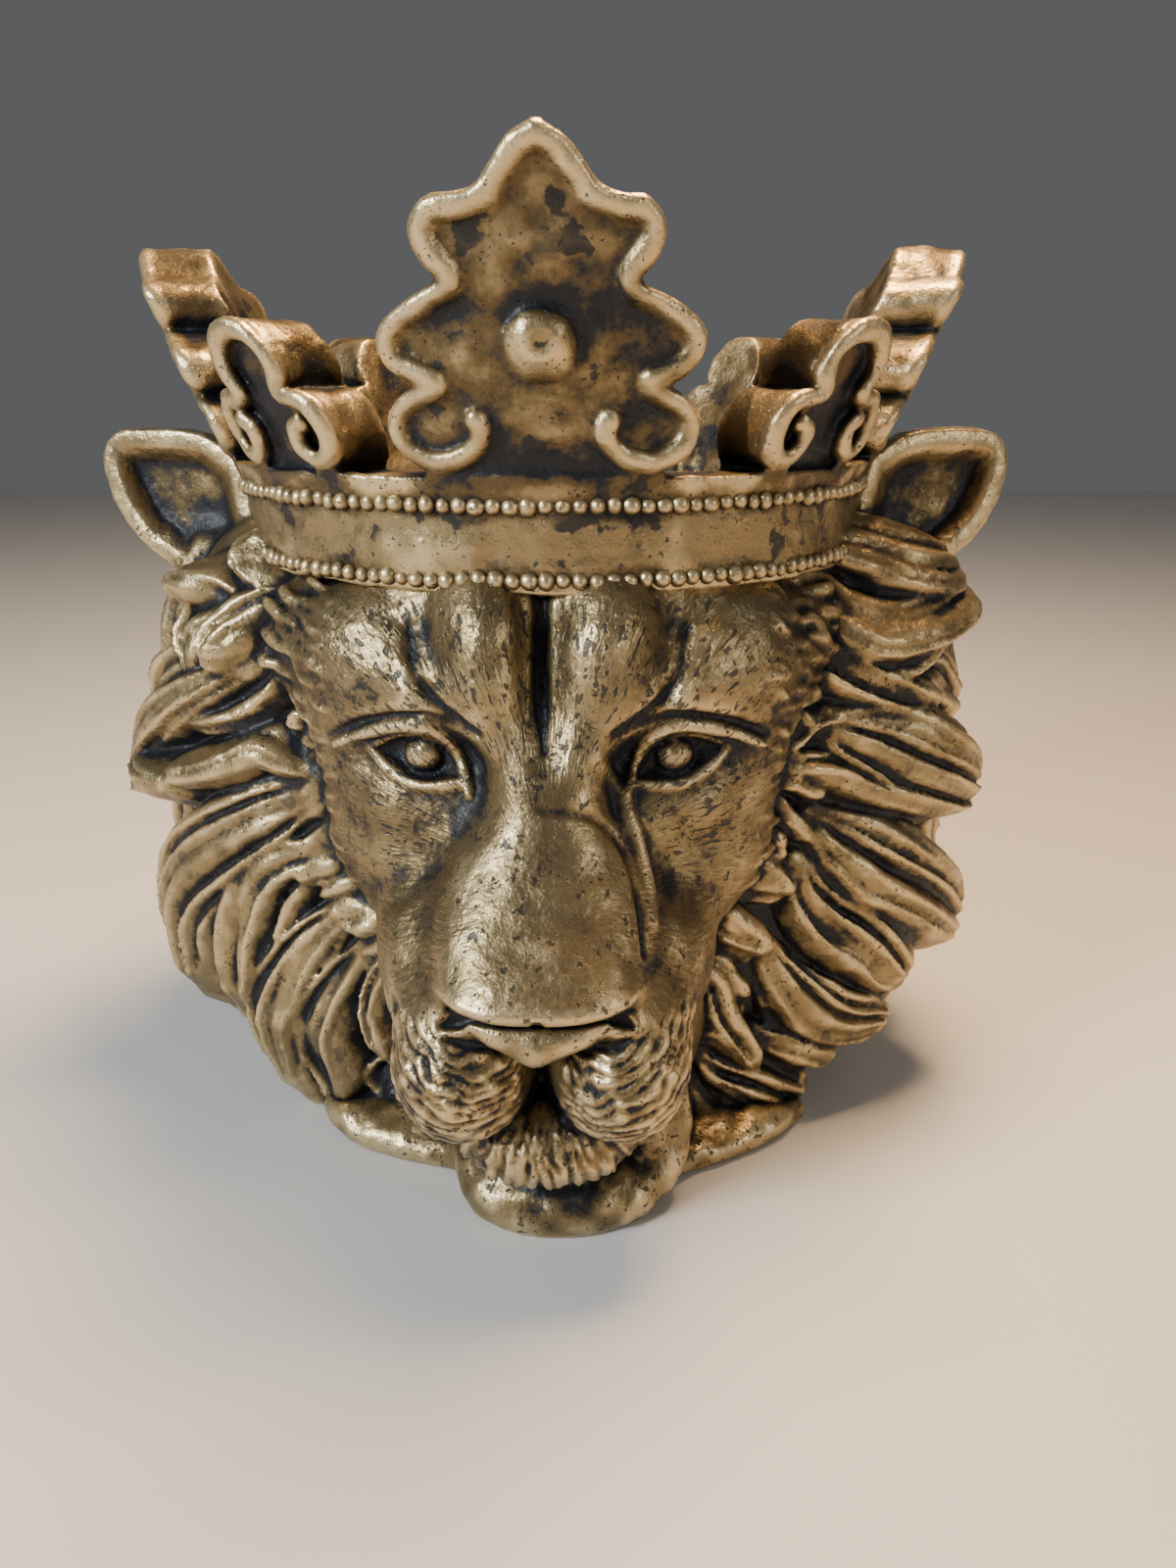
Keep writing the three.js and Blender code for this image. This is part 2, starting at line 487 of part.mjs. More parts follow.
// One point of the crown, wrapped round the crown's axis: a thick plate edged by a rope, and bossed if tall.
function crownPoint(around, { width, height, rope, lowest, recess, bossed }) {
  const half = rope.map(([x, y]) => [
    x * (width / 2 - ROPE_RADIUS),
    ROPE_RADIUS + y * (height - 2 * ROPE_RADIUS),
  ]);
  const foot = [half[lowest][0], -BAND_HEIGHT / 2];
  const right = [...half.slice(0, lowest + 1), foot];
  const plateEdge = [...right, ...right.map(([x, y]) => [-x, y]).reverse()];
  const middle = radians(around);
  const top = crownDips + height;
  const reach = crownRadius(top) + ROPE_RADIUS;
  return {
    box: new THREE.Box3(vec(-reach, -reach, crownBottom), vec(reach, reach, top)),
    distance(x, y, z) {
      let turn = Math.atan2(x, -y) - middle;
      turn -= 2 * Math.PI * Math.round(turn / (2 * Math.PI));
      const outside = crownRadius(z);
      const across = Math.abs(turn * outside);
      const up = z - crownDips;
      const out = Math.hypot(x, y) - outside;
      if (across > width || Math.abs(out) > 2 * POINT_THICKNESS) return 4 * CELL;
      const edge = lineDistance(across, up, plateEdge) * (isInside(across, up, plateEdge) ? -1 : 1) - ROPE_RADIUS;
      const plate = Math.max(edge, out + recess, -out - POINT_THICKNESS, crownBottom - z);
      const raised = softMin(plate, Math.hypot(lineDistance(across, up, half), out + 1) - ROPE_RADIUS, 2);
      if (!bossed) return raised;
      const boss = Math.hypot(across, up - 0.42 * height, out + BOSS_RADIUS / 2) - BOSS_RADIUS;
      return softMin(raised, boss, 2);
    },
  };
}

// The band: a ring with two rows of beads, drawn here as two round mouldings.
function crownBand() {
  const reach = crownRadius(crownDips) + 2 * BEAD_RADIUS;
  return {
    box: new THREE.Box3(vec(-reach, -reach, crownBottom), vec(reach, reach, crownDips)),
    distance(x, y, z) {
      const out = Math.hypot(x, y) - crownRadius(z);
      const wall = Math.max(out, -out - CROWN_WALL, crownBottom - z, z - crownDips);
      const beads = Math.min(...[lowerBeads, upperBeads].map((row) => Math.hypot(out, z - row) - BEAD_RADIUS));
      return softMin(wall, beads, 2);
    },
  };
}

function shapeCrown(clay) {
  clay.add(crownBand(), 4);
  for (const around of [0, 90, 180, 270])
    clay.add(crownPoint(around, around ? TALL_POINT : FRONT_POINT), 3);
  for (const around of SMALL_POINTS_AROUND)
    clay.add(crownPoint(around, SMALL_POINT), 3);
}

// The surface of the clay, by cutting each cell into six tetrahedra that share its long diagonal.
function skin(clay) {
  const { low, cell, size, value } = clay;
  const step = [1, size[0], size[0] * size[1]];
  const corner = (c) => (c & 1) * step[0] + ((c >> 1) & 1) * step[1] + ((c >> 2) & 1) * step[2];
  const TETRAHEDRA = [[0, 1, 3, 7], [0, 3, 2, 7], [0, 2, 6, 7], [0, 6, 4, 7], [0, 4, 5, 7], [0, 5, 1, 7]]
    .map((t) => t.map(corner));
  const points = [];
  const faces = [];
  const made = new Map();
  const point = (a, b) => {
    const key = Math.min(a, b) * value.length + Math.max(a, b);
    if (!made.has(key)) {
      const t = THREE.MathUtils.clamp(value[a] / (value[a] - value[b]), 0.03, 0.97);
      const at = (n) => [n % size[0], Math.floor(n / size[0]) % size[1], Math.floor(n / step[2])];
      const [from, to] = [at(a), at(b)];
      made.set(key, points.length);
      points.push(from.map((f, i) => low.getComponent(i) + cell * (f + t * (to[i] - f))));
    }
    return made.get(key);
  };
  const cut = ([a, b, c, d]) => {
    const inner = [a, b, c, d].map((n) => value[n] < 0);
    const count = inner.filter(Boolean).length;
    if (count === 0 || count === 4) return;
    // An even reordering puts the odd corner, or the two inner ones, first, so the faces point out.
    const orders = count === 2
      ? { 3: [a, b, c, d], 5: [a, c, d, b], 9: [a, d, b, c], 6: [b, c, a, d], 10: [b, d, c, a], 12: [c, d, a, b] }
      : { 1: [a, b, c, d], 2: [b, a, d, c], 4: [c, a, b, d], 8: [d, a, c, b] };
    const mask = inner.reduce((m, isIn, i) => m + (isIn ? 1 << i : 0), 0);
    const [p, q, r, s] = orders[count === 3 ? 15 - mask : mask];
    if (count === 1) faces.push([point(p, q), point(p, r), point(p, s)]);
    if (count === 3) faces.push([point(p, q), point(p, s), point(p, r)]);
    if (count === 2) {
      faces.push([point(p, r), point(p, s), point(q, s)]);
      faces.push([point(p, r), point(q, s), point(q, r)]);
    }
  };
  for (let k = 0; k < size[2] - 1; k++)
    for (let j = 0; j < size[1] - 1; j++)
      for (let i = 0; i < size[0] - 1; i++) {
        const at = i + step[1] * j + step[2] * k;
        const isIn = value[at] < 0;
        if ([1, 2, 3, 4, 5, 6, 7].every((c) => value[at + corner(c)] < 0 === isIn)) continue;
        for (const t of TETRAHEDRA)
          cut(t.map((offset) => at + offset));
      }
  return { points, faces };
}

// A queue that gives back its cheapest item first.
class Queue {
  constructor() {
    this.items = [];
  }

  push(item) {
    const { items } = this;
    let at = items.push(item) - 1;
    while (at > 0) {
      const parent = (at - 1) >> 1;
      if (items[parent].cost <= item.cost) break;
      items[at] = items[parent];
      at = parent;
    }
    items[at] = item;
  }

  pop() {
    const { items } = this;
    const first = items[0];
    const last = items.pop();
    if (!items.length) return first;
    let at = 0;
    for (;;) {
      let child = 2 * at + 1;
      if (child >= items.length) break;
      if (child + 1 < items.length && items[child + 1].cost < items[child].cost) child++;
      if (items[child].cost >= last.cost) break;
      items[at] = items[child];
      at = child;
    }
    items[at] = last;
    return first;
  }
}

const minus = (a, b) => [a[0] - b[0], a[1] - b[1], a[2] - b[2]];
const cross = (a, b) => [a[1] * b[2] - a[2] * b[1], a[2] * b[0] - a[0] * b[2], a[0] * b[1] - a[1] * b[0]];
const dot = (a, b) => a[0] * b[0] + a[1] * b[1] + a[2] * b[2];

// Thins a skin to the faces that its shape needs, by closing its cheapest edges one by one. The cost of an
// edge is how far its new point lies from the planes of the faces it stands for.
function thin({ points, faces }, kept, dearness) {
  const errors = points.map(() => new Float64Array(10));
  const touching = points.map(() => new Set());
  const stamp = new Int32Array(points.length);
  const facing = ([a, b, c]) => cross(minus(points[b], points[a]), minus(points[c], points[a]));
  faces.forEach((face, i) => {
    const n = facing(face);
    const length = Math.hypot(...n) || 1;
    const [x, y, z] = n.map((v) => v / length);
    const d = -dot([x, y, z], points[face[0]]);
    const plane = [x * x, x * y, x * z, x * d, y * y, y * z, y * d, z * z, z * d, d * d];
    for (const p of face) {
      const weight = (length / 2) * dearness(points[p]);
      plane.forEach((value, k) => (errors[p][k] += weight * value));
      touching[p].add(i);
    }
  });
  const errorAt = (q, [x, y, z]) => q[0] * x * x + q[4] * y * y + q[7] * z * z + q[9] +
    2 * (q[1] * x * y + q[2] * x * z + q[5] * y * z + q[3] * x + q[6] * y + q[8] * z);
  const best = (q, a, b) => {
    const middle = [0, 1, 2].map((i) => (points[a][i] + points[b][i]) / 2);
    const rows = [[q[0], q[1], q[2]], [q[1], q[4], q[5]], [q[2], q[5], q[7]]];
    const det = dot(rows[0], cross(rows[1], rows[2]));
    const choices = [middle, points[a], points[b]];
    if (Math.abs(det) > 1e-6) {
      const right = [-q[3], -q[6], -q[8]];
      const solved = [0, 1, 2].map((i) => {
        const swapped = rows.map((row, r) => row.map((v, c) => (c === i ? right[r] : v)));
        return dot(swapped[0], cross(swapped[1], swapped[2])) / det;
      });
      const spread = Math.hypot(...minus(points[a], points[b]));
      if (Math.hypot(...minus(solved, middle)) < 2 * spread) choices.push(solved);
    }
    return choices.reduce((x, y) => (errorAt(q, y) < errorAt(q, x) ? y : x));
  };
  const queue = new Queue();
  const offer = (a, b) => {
    const q = errors[a].map((v, i) => v + errors[b][i]);
    const to = best(q, a, b);
    const spread = minus(points[a], points[b]);
    queue.push({ cost: errorAt(q, to) + 1e-5 * dot(spread, spread), a, b, to, sa: stamp[a], sb: stamp[b] });
  };
  const neighbours = (p) => new Set([...touching[p]].flatMap((f) => faces[f]).filter((v) => v !== p));
  const flips = (p, other, to) => [...touching[p]].some((f) => {
    const face = faces[f];
    if (face.includes(other)) return false;
    const before = facing(face);
    const [a, b, c] = face.map((v) => (v === p ? to : points[v]));
    const after = cross(minus(b, a), minus(c, a));
    return dot(before, after) < 0.3 * Math.hypot(...before) * Math.hypot(...after) || dot(after, after) < 1e-8;
  });
  for (const [a, b, c] of faces)
    for (const [p, q] of [[a, b], [b, c], [c, a]])
      if (p < q) offer(p, q);
  let left = faces.length;
  while (left > kept && queue.items.length) {
    const { a, b, to, sa, sb } = queue.pop();
    if (stamp[a] !== sa || stamp[b] !== sb) continue;
    const near = neighbours(b);
    const shared = [...neighbours(a)].filter((v) => near.has(v));
    if (shared.length !== 2 || flips(a, b, to) || flips(b, a, to)) continue;
    for (const f of [...touching[b]]) {
      if (faces[f].includes(a)) {
        for (const v of faces[f]) touching[v].delete(f);
        left--;
      } else {
        faces[f] = faces[f].map((v) => (v === b ? a : v));
        touching[a].add(f);
      }
    }
    touching[b].clear();
    points[a] = to;
    errors[a] = errors[a].map((v, i) => v + errors[b][i]);
    stamp[a]++;
    stamp[b] = -1;
    for (const v of neighbours(a)) offer(a, v);
  }
  const alive = new Set(touching.flatMap((set) => [...set]));
  return { points, faces: [...alive].map((f) => faces[f]) };
}

// The skin of the finished clay as a manifold-3d solid.
function solidOfSkin({ points, faces }) {
  const number = new Map();
  const used = [];
  for (const p of faces.flat())
    if (!number.has(p)) {
      number.set(p, used.length);
      used.push(points[p]);
    }
  return new wasm.Manifold(new wasm.Mesh({
    numProp: 3,
    vertProperties: new Float32Array(used.flat()),
    triVerts: new Uint32Array(faces.flat().map((p) => number.get(p))),
  }));
}

// A closed three.js geometry as a manifold-3d solid.
function solidOf(geometry) {
  const bare = geometry.clone();
  bare.deleteAttribute('normal');
  bare.deleteAttribute('uv');
  const merged = mergeVertices(bare, 1e-3);
  return new wasm.Manifold(new wasm.Mesh({
    numProp: 3,
    vertProperties: merged.attributes.position.array,
    triVerts: new Uint32Array(merged.index.array),
  }));
}

function geometryOf(solid) {
  const { vertProperties, triVerts, numProp } = solid.getMesh();
  const position = new THREE.BufferAttribute(vertProperties, numProp);
  const geometry = new THREE.BufferGeometry().setAttribute('position', position);
  geometry.setIndex(new THREE.BufferAttribute(triVerts, 1));
  geometry.computeVertexNormals();
  return geometry;
}

// The hollow: turned about the crown's axis, then wider from side to side and set back inside the head.
function hollow() {
  const neck = crownRadius(crownDips) - CROWN_WALL;
  const shoulder = crownDips - NECK_DEPTH;
  const rise = shoulder - FLOOR_THICKNESS;
  const open = tipHeight + 2 * POINT_THICKNESS;
  const belly = BELLY_LENGTH / 2;
  const profile = [[0, 0], [0.72 * belly, 0], [0.9 * belly, 0.1 * rise], [belly, 0.32 * rise], [belly, 0.7 * rise],
    [neck, rise], [neck, open], [0, open]];
  const geometry = new THREE.LatheGeometry(profile.map(([r, z]) => new THREE.Vector2(r, z)), 44);
  geometry.rotateX(Math.PI / 2);
  const position = geometry.attributes.position;
  for (let i = 0; i < position.count; i++) {
    const up = position.getZ(i);
    const inside = 1 - THREE.MathUtils.smoothstep(up / rise, 0.7, 1);
    position.setX(i, position.getX(i) * (1 + (BELLY_WIDTH / BELLY_LENGTH - 1) * inside));
    position.setY(i, position.getY(i) + BELLY_SETBACK * inside);
    position.setZ(i, up + FLOOR_THICKNESS);
  }
  return solidOf(geometry);
}

function ground() {
  const size = 8 * CROWN_RADIUS;
  return solidOf(new THREE.BoxGeometry(size, size, size).translate(0, 0, -size / 2));
}

function plaster() {
  return new THREE.MeshStandardMaterial({ color: 0x8c7146, roughness: 0.45, metalness: 0.6 });
}

function planter() {
  const reach = vec(218 * unit, 200 * unit, 0);
  const clay = new Clay(
    vec(-reach.x, -reach.y, -6 * CELL), vec(reach.x, reach.y, tipHeight + 3 * CELL), CELL);
  shapeHead(clay);
  shapeFace(clay);
  shapeMane(clay);
  shapeEars(clay);
  shapeCrown(clay);
  const onFace = ([x, y, z]) => y < -70 * unit && Math.abs(x) < 86 * unit && z > 0 && z < crownBottom;
  const cast = solidOfSkin(thin(skin(clay), FACES_KEPT, (p) => (onFace(p) ? FACE_DETAIL : 1)));
  const mesh = new THREE.Mesh(geometryOf(cast.subtract(hollow()).subtract(ground())), plaster());
  mesh.name = 'lion_head_planter';
  return mesh;
}

const group = new THREE.Group();
group.add(planter());
export default group;
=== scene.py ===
import math

import bmesh
import bpy
import numpy as np
import openvdb
from mathutils import Matrix, Vector


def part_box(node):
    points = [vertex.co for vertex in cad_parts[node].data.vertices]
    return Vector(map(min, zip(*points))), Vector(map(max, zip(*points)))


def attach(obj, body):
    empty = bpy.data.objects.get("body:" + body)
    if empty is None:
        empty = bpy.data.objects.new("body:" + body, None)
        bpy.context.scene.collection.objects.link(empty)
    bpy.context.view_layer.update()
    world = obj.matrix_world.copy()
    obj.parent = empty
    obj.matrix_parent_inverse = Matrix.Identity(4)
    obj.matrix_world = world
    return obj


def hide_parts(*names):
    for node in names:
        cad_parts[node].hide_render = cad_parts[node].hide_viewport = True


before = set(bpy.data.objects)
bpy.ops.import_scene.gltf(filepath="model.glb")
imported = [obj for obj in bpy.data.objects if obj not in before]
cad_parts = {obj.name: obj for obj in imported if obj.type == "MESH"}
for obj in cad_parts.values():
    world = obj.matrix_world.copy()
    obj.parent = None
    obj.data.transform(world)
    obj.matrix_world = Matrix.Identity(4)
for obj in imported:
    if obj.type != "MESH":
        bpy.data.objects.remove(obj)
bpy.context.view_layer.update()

# The head: a hollow lion's head, cast in one piece with its mane, ears, crown and foot, and taken
# to be concrete. It is modelled as clay is, by laying on eggs and strands and carving grooves.
# Everything is in millimetres until the finish, where each piece is brought to its real size.
NODE = "lion_head_planter"
TIP_HEIGHT = 376  # of the front point, in the frame's own build
unit = 1000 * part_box(NODE)[1][2] / TIP_HEIGHT
CELL = 1.45
BLOCK_LOW, BLOCK_HIGH = (-207, -198, -4), (207, 184, 300)
MOST_FACES = 196000


def smooth_min(a, b, blend):
    h = np.maximum(blend - np.abs(a - b), 0) / blend
    return np.minimum(a, b) - h * h * (blend / 4)


class Clay:
    """A block of cells, each holding its distance to the surface, below zero inside."""

    def __init__(self, low, high, cell):
        self.cell = cell
        self.axes = [np.arange(a, b + cell, cell, dtype=np.float32) for a, b in zip(low, high)]
        self.value = np.full([len(axis) for axis in self.axes], 4 * cell, np.float32)

    def near(self, shape, margin):
        spans = []
        for axis, low, high in zip(self.axes, shape.low, shape.high):
            start = max(int((low - margin - axis[0]) / self.cell), 1)
            end = min(int((high + margin - axis[0]) / self.cell) + 2, len(axis) - 1)
            spans.append(slice(start, max(start, end)))
        places = np.ix_(*(axis[span] for axis, span in zip(self.axes, spans)))
        return tuple(spans), places

    def add(self, shape, blend=6):
        spans, places = self.near(shape, blend + 3 * self.cell)
        self.value[spans] = smooth_min(self.value[spans], shape.distance(*places), blend)

    def carve(self, shape, blend=4):
        spans, places = self.near(shape, blend + self.cell)
        self.value[spans] = -smooth_min(-self.value[spans], shape.distance(*places), blend)

    def on_front(self, path, rise=0):
        """Places on the front of the clay, by across and up, each lifted off it by rise. Places
        beside the clay are left out."""
        laid = []
        for across, up in path:
            sides = zip((across, up), self.axes[::2])
            i, k = (int(round((p - axis[0]) / self.cell)) for p, axis in sides)
            column = self.value[i, :, k]
            j = int(np.argmax(column < 0))
            if j:
                front = self.axes[1][j] - self.cell * column[j] / (column[j] - column[j - 1])
                laid.append((across, float(front) - rise, up))
        return laid


class Egg:
    """Centre, the three radii, and the turn about X, Y and Z in degrees."""

    def __init__(self, centre, radii, turn=(0, 0, 0)):
        self.centre = np.array(centre, float)
        self.radii = np.array(radii, float)
        turns = [Matrix.Rotation(math.radians(angle), 3, axis) for angle, axis in zip(turn, "XYZ")]
        self.turn = np.array(turns[2] @ turns[1] @ turns[0])
        self.low = self.centre - self.radii.max()
        self.high = self.centre + self.radii.max()

    def distance(self, x, y, z):
        away = [x - self.centre[0], y - self.centre[1], z - self.centre[2]]
        own = [sum(float(self.turn[row, axis]) * away[row] for row in range(3)) for axis in range(3)]
        near = np.sqrt(sum((p / r) ** 2 for p, r in zip(own, self.radii)))
        slope = np.sqrt(sum((p / r**2) ** 2 for p, r in zip(own, self.radii)))
        return (near * (near - 1) / np.maximum(slope, 1e-6)).astype(np.float32)


def smooth_line(points, steps):
    """A smooth curve through the points, given as steps + 1 places along it."""
    points = np.array(points, float)
    padded = np.vstack([2 * points[0] - points[1], points, 2 * points[-1] - points[-2]])
    t = np.linspace(0, len(points) - 1, steps + 1)
    i = np.minimum(t.astype(int), len(points) - 2)
    f = (t - i)[:, None]
    p0, p1, p2, p3 = (padded[i + k] for k in range(4))
    return 0.5 * (2 * p1 + (p2 - p0) * f + (2 * p0 - 5 * p1 + 4 * p2 - p3) * f**2
                  + (3 * p1 - p0 - 3 * p2 + p3) * f**3)


class Strand:
    """A round bar along a smooth curve through the points, its radius running through the radii."""

    reach = 9

    def __init__(self, points, radii, steps=None):
        steps = steps or 3 * (len(points) - 1)
        self.along = smooth_line(points, steps)
        self.radius = np.interp(np.linspace(0, 1, steps + 1), np.linspace(0, 1, len(radii)), radii)
        self.low = (self.along - self.radius[:, None]).min(0)
        self.high = (self.along + self.radius[:, None]).max(0)

    def distance(self, x, y, z):
        axes = [x.ravel(), y.ravel(), z.ravel()]
        best = np.full([len(axis) for axis in axes], 40, np.float32)
        ends = zip(self.along, self.along[1:], self.radius, self.radius[1:])
        for a, b, thick_a, thick_b in ends:
            margin = max(thick_a, thick_b) + self.reach
            spans = tuple(
                slice(*np.searchsorted(axis, [min(p, q) - margin, max(p, q) + margin]))
                for axis, p, q in zip(axes, a, b))
            dx, dy, dz = np.ix_(*(axis[span] - p for axis, span, p in zip(axes, spans, a)))
            sx, sy, sz = b - a
            t = np.clip((dx * sx + dy * sy + dz * sz) / (sx * sx + sy * sy + sz * sz), 0, 1)
            gap = np.sqrt((dx - t * sx) ** 2 + (dy - t * sy) ** 2 + (dz - t * sz) ** 2)
            best[spans] = np.minimum(best[spans], gap - thick_a - t * (thick_b - thick_a))
        return best


def smooth_step(x, low, high):
    t = np.clip((x - low) / (high - low), 0, 1)
    return t * t * (3 - 2 * t)


head = Clay(BLOCK_LOW, BLOCK_HIGH, CELL)
head.add(Egg((0, 18, 142), (146, 114, 128)))
head.add(Egg((0, 22, 74), (142, 110, 82)), 30)
head.add(Egg((0, 8, 12), (118, 108, 46)), 20)
head.add(Egg((0, 0, 215), (128, 122, 52)), 20)
head.add(Egg((0, -34, 206), (90, 88, 54)), 14)
head.add(Egg((0, -42, 160), (85, 82, 84)), 14)
head.add(Egg((0, -84, 60), (58, 62, 54)), 14)

# The face: cheeks, brows, eyes, nose, whisker pads and beard. Lids, creases and tufts are laid
# along the clay's own front, so that each follows what lies under it.
MUZZLE_MIDDLE = -2.5  # the nose and mouth stand a little to the lion's right


class Nose:
    """The bridge and the tip, by rows of height, middle, half width, front and squareness."""

    low, high = (-44, -194, 106), (40, -108, 214)
    rows = np.array([
        (108, -2.5, 33, -186, 3.2), (116, -2.5, 35, -186, 3.0), (124, -2.5, 34.5, -179, 2.8),
        (138, -2, 34, -167, 2.6), (153, -1.5, 30, -157, 2.4), (166, -1, 25, -150, 2.3),
        (179, -0.5, 20, -144, 2.2), (196, 0, 14, -137, 2), (214, 0, 10, -124, 2)])
    depth = 32

    def distance(self, x, y, z):
        heights, *columns = self.rows.T
        middle, half, front, square = (np.interp(z, heights, column) for column in columns)
        across = np.abs(x - middle) / half
        ahead = np.maximum(front + self.depth - y, 0) / self.depth
        body = (across**square + ahead**square) ** (1 / square) - 1
        body = body * 0.8 * np.minimum(half, self.depth)
        underside = 111.5 + 0.0025 * (x - middle) ** 2 - z
        return -smooth_min(-body, -underside, 4)


head.add(Egg((0, -84, 238), (64, 40, 22)), 10)
head.add(Egg((0, -108, 112), (54, 54, 42)), 24)
for side in (1, -1):
    head.add(Egg((50 * side, -86, 146), (33, 31, 36), (0, 0, 25 * side)), 18)
    head.add(Egg((66 * side, -80, 192), (24, 28, 38)), 16)
    brow = [
        (24 * side, -118, 203), (44 * side, -115, 208), (64 * side, -102, 207), (80 * side, -81, 199)]
    head.add(Strand(brow, (9, 13, 13, 9)), 12)
    head.add(Egg((60 * side, -92, 219), (26, 22, 20), (0, 0, 28 * side)), 14)
    head.add(Egg((22 * side, -110, 221), (20, 29, 31), (0, 6 * side, -8 * side)), 5)
    inner_brow = [
        (22 * side, -125, 208), (17 * side, -128, 198), (12 * side, -131, 187), (9 * side, -135, 176)]
    head.add(Strand(inner_brow, (12, 9, 7, 5)), 9)
    head.add(Egg((MUZZLE_MIDDLE + 43 * side, -116, 105), (17, 33, 27)), 12)
    head.add(Egg((46 * side, -103, 166), (22, 20, 13), (0, 0, 20 * side)), 12)
    head.add(Egg((31 * side, -112, 158), (12, 16, 20)), 12)
head.add(Nose(), 9)
for side in (1, -1):
    head.add(Egg((MUZZLE_MIDDLE + 28 * side, -144, 99), (24, 32, 18)), 8)
    head.add(Egg((MUZZLE_MIDDLE + 27.5 * side, -148, 80), (26, 36, 29), (2, 8 * side, 6 * side)), 4)
    upper_lid = head.on_front([
        (28 * side, 172), (31.5 * side, 184), (37 * side, 192.5), (47 * side, 196.5),
        (64 * side, 191.5), (79 * side, 184)], 1)
    lid_edge = head.on_front([
        (33 * side, 183), (38 * side, 189), (46 * side, 191.8), (55 * side, 190),
        (64 * side, 185.5)], 0.4)
    lower_lid = head.on_front([
        (29 * side, 176), (38 * side, 174.5), (48 * side, 174), (57 * side, 177.5),
        (65 * side, 184)], 0.6)
    fold = head.on_front([
        (25 * side, 194.5), (35 * side, 199), (47 * side, 201), (64 * side, 196),
        (80 * side, 188)], -0.6)
    socket = head.on_front([(34 * side, 180), (44.5 * side, 183), (60 * side, 184)], 4)
    head.carve(Strand(fold, (0.8, 1.5, 1.7, 1.7, 0.8)), 1.5)
    head.carve(Strand(socket, (3.5, 7, 3.5)), 1.5)
    head.carve(Egg((24.5 * side, -140, 184), (2, 5, 6), (0, -14 * side, 0)), 4)
    head.add(Egg(Vector(socket[1]) + Vector((0, 5.6, 0)), (7.6, 7.6, 7.6)), 0.8)
    head.add(Strand(upper_lid, (1.4, 2, 2.3, 2.4, 2.3, 1.4)), 1.2)
    head.add(Strand(lid_edge, (1, 1.3, 1.4, 1.3, 1)), 0.8)
    head.add(Strand(lower_lid, (1.4, 1.8, 2, 1.8, 1.2)), 1.2)
    crease = [
        (48 * side, 229), (46 * side, 218), (41 * side, 208.5), (33 * side, 201.5), (24 * side, 196)]
    head.carve(Strand(head.on_front(crease, -0.6), (0.8, 1.4, 1.8, 2, 1.6)), 3)
groove = [(-2, 246), (-2, 239), (-2, 230), (-2.5, 218), (-2, 204), (-1, 190)]
head.carve(Strand(head.on_front(groove, 2), (8, 7.5, 7, 6.5, 6, 3.5)), 7)
head.carve(Strand(head.on_front(groove, -0.5), (3.6, 3.4, 3.2, 3, 2.6, 1.2)), 2)
rim = [(16, 189), (22, 177), (29.5, 162), (34, 147), (36.5, 133)]
head.add(Strand(head.on_front(rim, -0.6), (1.4, 2.2, 2.4, 2, 1.2)), 3)
arch = [(33, 126), (31.5, 142), (26.5, 156), (18, 167), (8, 172), (-3, 173)]
head.carve(Strand(head.on_front(arch, 0.2), (1, 1.5, 1.7, 1.4, 0.9, 0.3)), 2)
for side in (1, -1):
    tip = [
        (MUZZLE_MIDDLE + 27 * side, -171, 107), (MUZZLE_MIDDLE + 14 * side, -176, 104.5),
        (-3, -177.5, 101)]
    head.add(Strand(tip, (3, 5.5, 7.5)), 2.5)
under_nose = [(-33, 110.5), (-22, 109.5), (-12, 109.5), (-2, 110), (8, 109.5), (18, 109.5), (28, 110.5)]
head.carve(Strand(head.on_front(under_nose, -1.2), (1.2, 1.5, 1.7, 1.9, 1.7, 1.5, 1.2)), 1)
head.carve(Strand(head.on_front([(-2.5, 112), (-2.5, 105)], -0.4), (1.8, 0.7)), 1.2)
for nostril in ([(-35, 105), (-30, 107), (-23, 108.5)], [(17, 108.5), (25, 107.5), (29, 104.5)]):
    head.carve(Strand(head.on_front(nostril, -1.4), (1.4, 2.7, 1.4)), 1.2)
for side in (1, -1):
    under_tip = [(34, 101.5), (22, 98.5), (11, 95), (0, 91.5)]
    under_tip = head.on_front([(MUZZLE_MIDDLE + across * side, up) for across, up in under_tip], -0.4)
    head.carve(Strand(under_tip, (0.8, 1.4, 1.7, 1.8)), 1.5)
philtrum = [(-3, 92), (-3, 84), (-3, 74), (-3, 64)]
head.carve(Strand(head.on_front(philtrum, -1.5), (1, 1.2, 1.4, 1.6)), 1.5)
head.add(Egg((-1, -133, 45), (37, 34, 24)), 1.5)
rng = np.random.default_rng(3)
for i in range(20):
    across = -35 + 3.7 * i + rng.uniform(-0.7, 0.7)
    share = 1 - (across / 38) ** 2
    tuft = [
        (0.72 * across + rng.uniform(-1, 1), 48 + 8 * share),
        (0.9 * across + rng.uniform(-1, 1), 44),
        (across + rng.uniform(-1.5, 1.5), 37 - 3 * share),
        (0.97 * across + rng.uniform(-1, 1), 33 - rng.uniform(7, 11) * share)]
    head.add(Strand(head.on_front(tuft, rng.uniform(-0.3, 0.7)), (0.5, 1.2, 1.9, 1.7, 0.8)), 0.8)

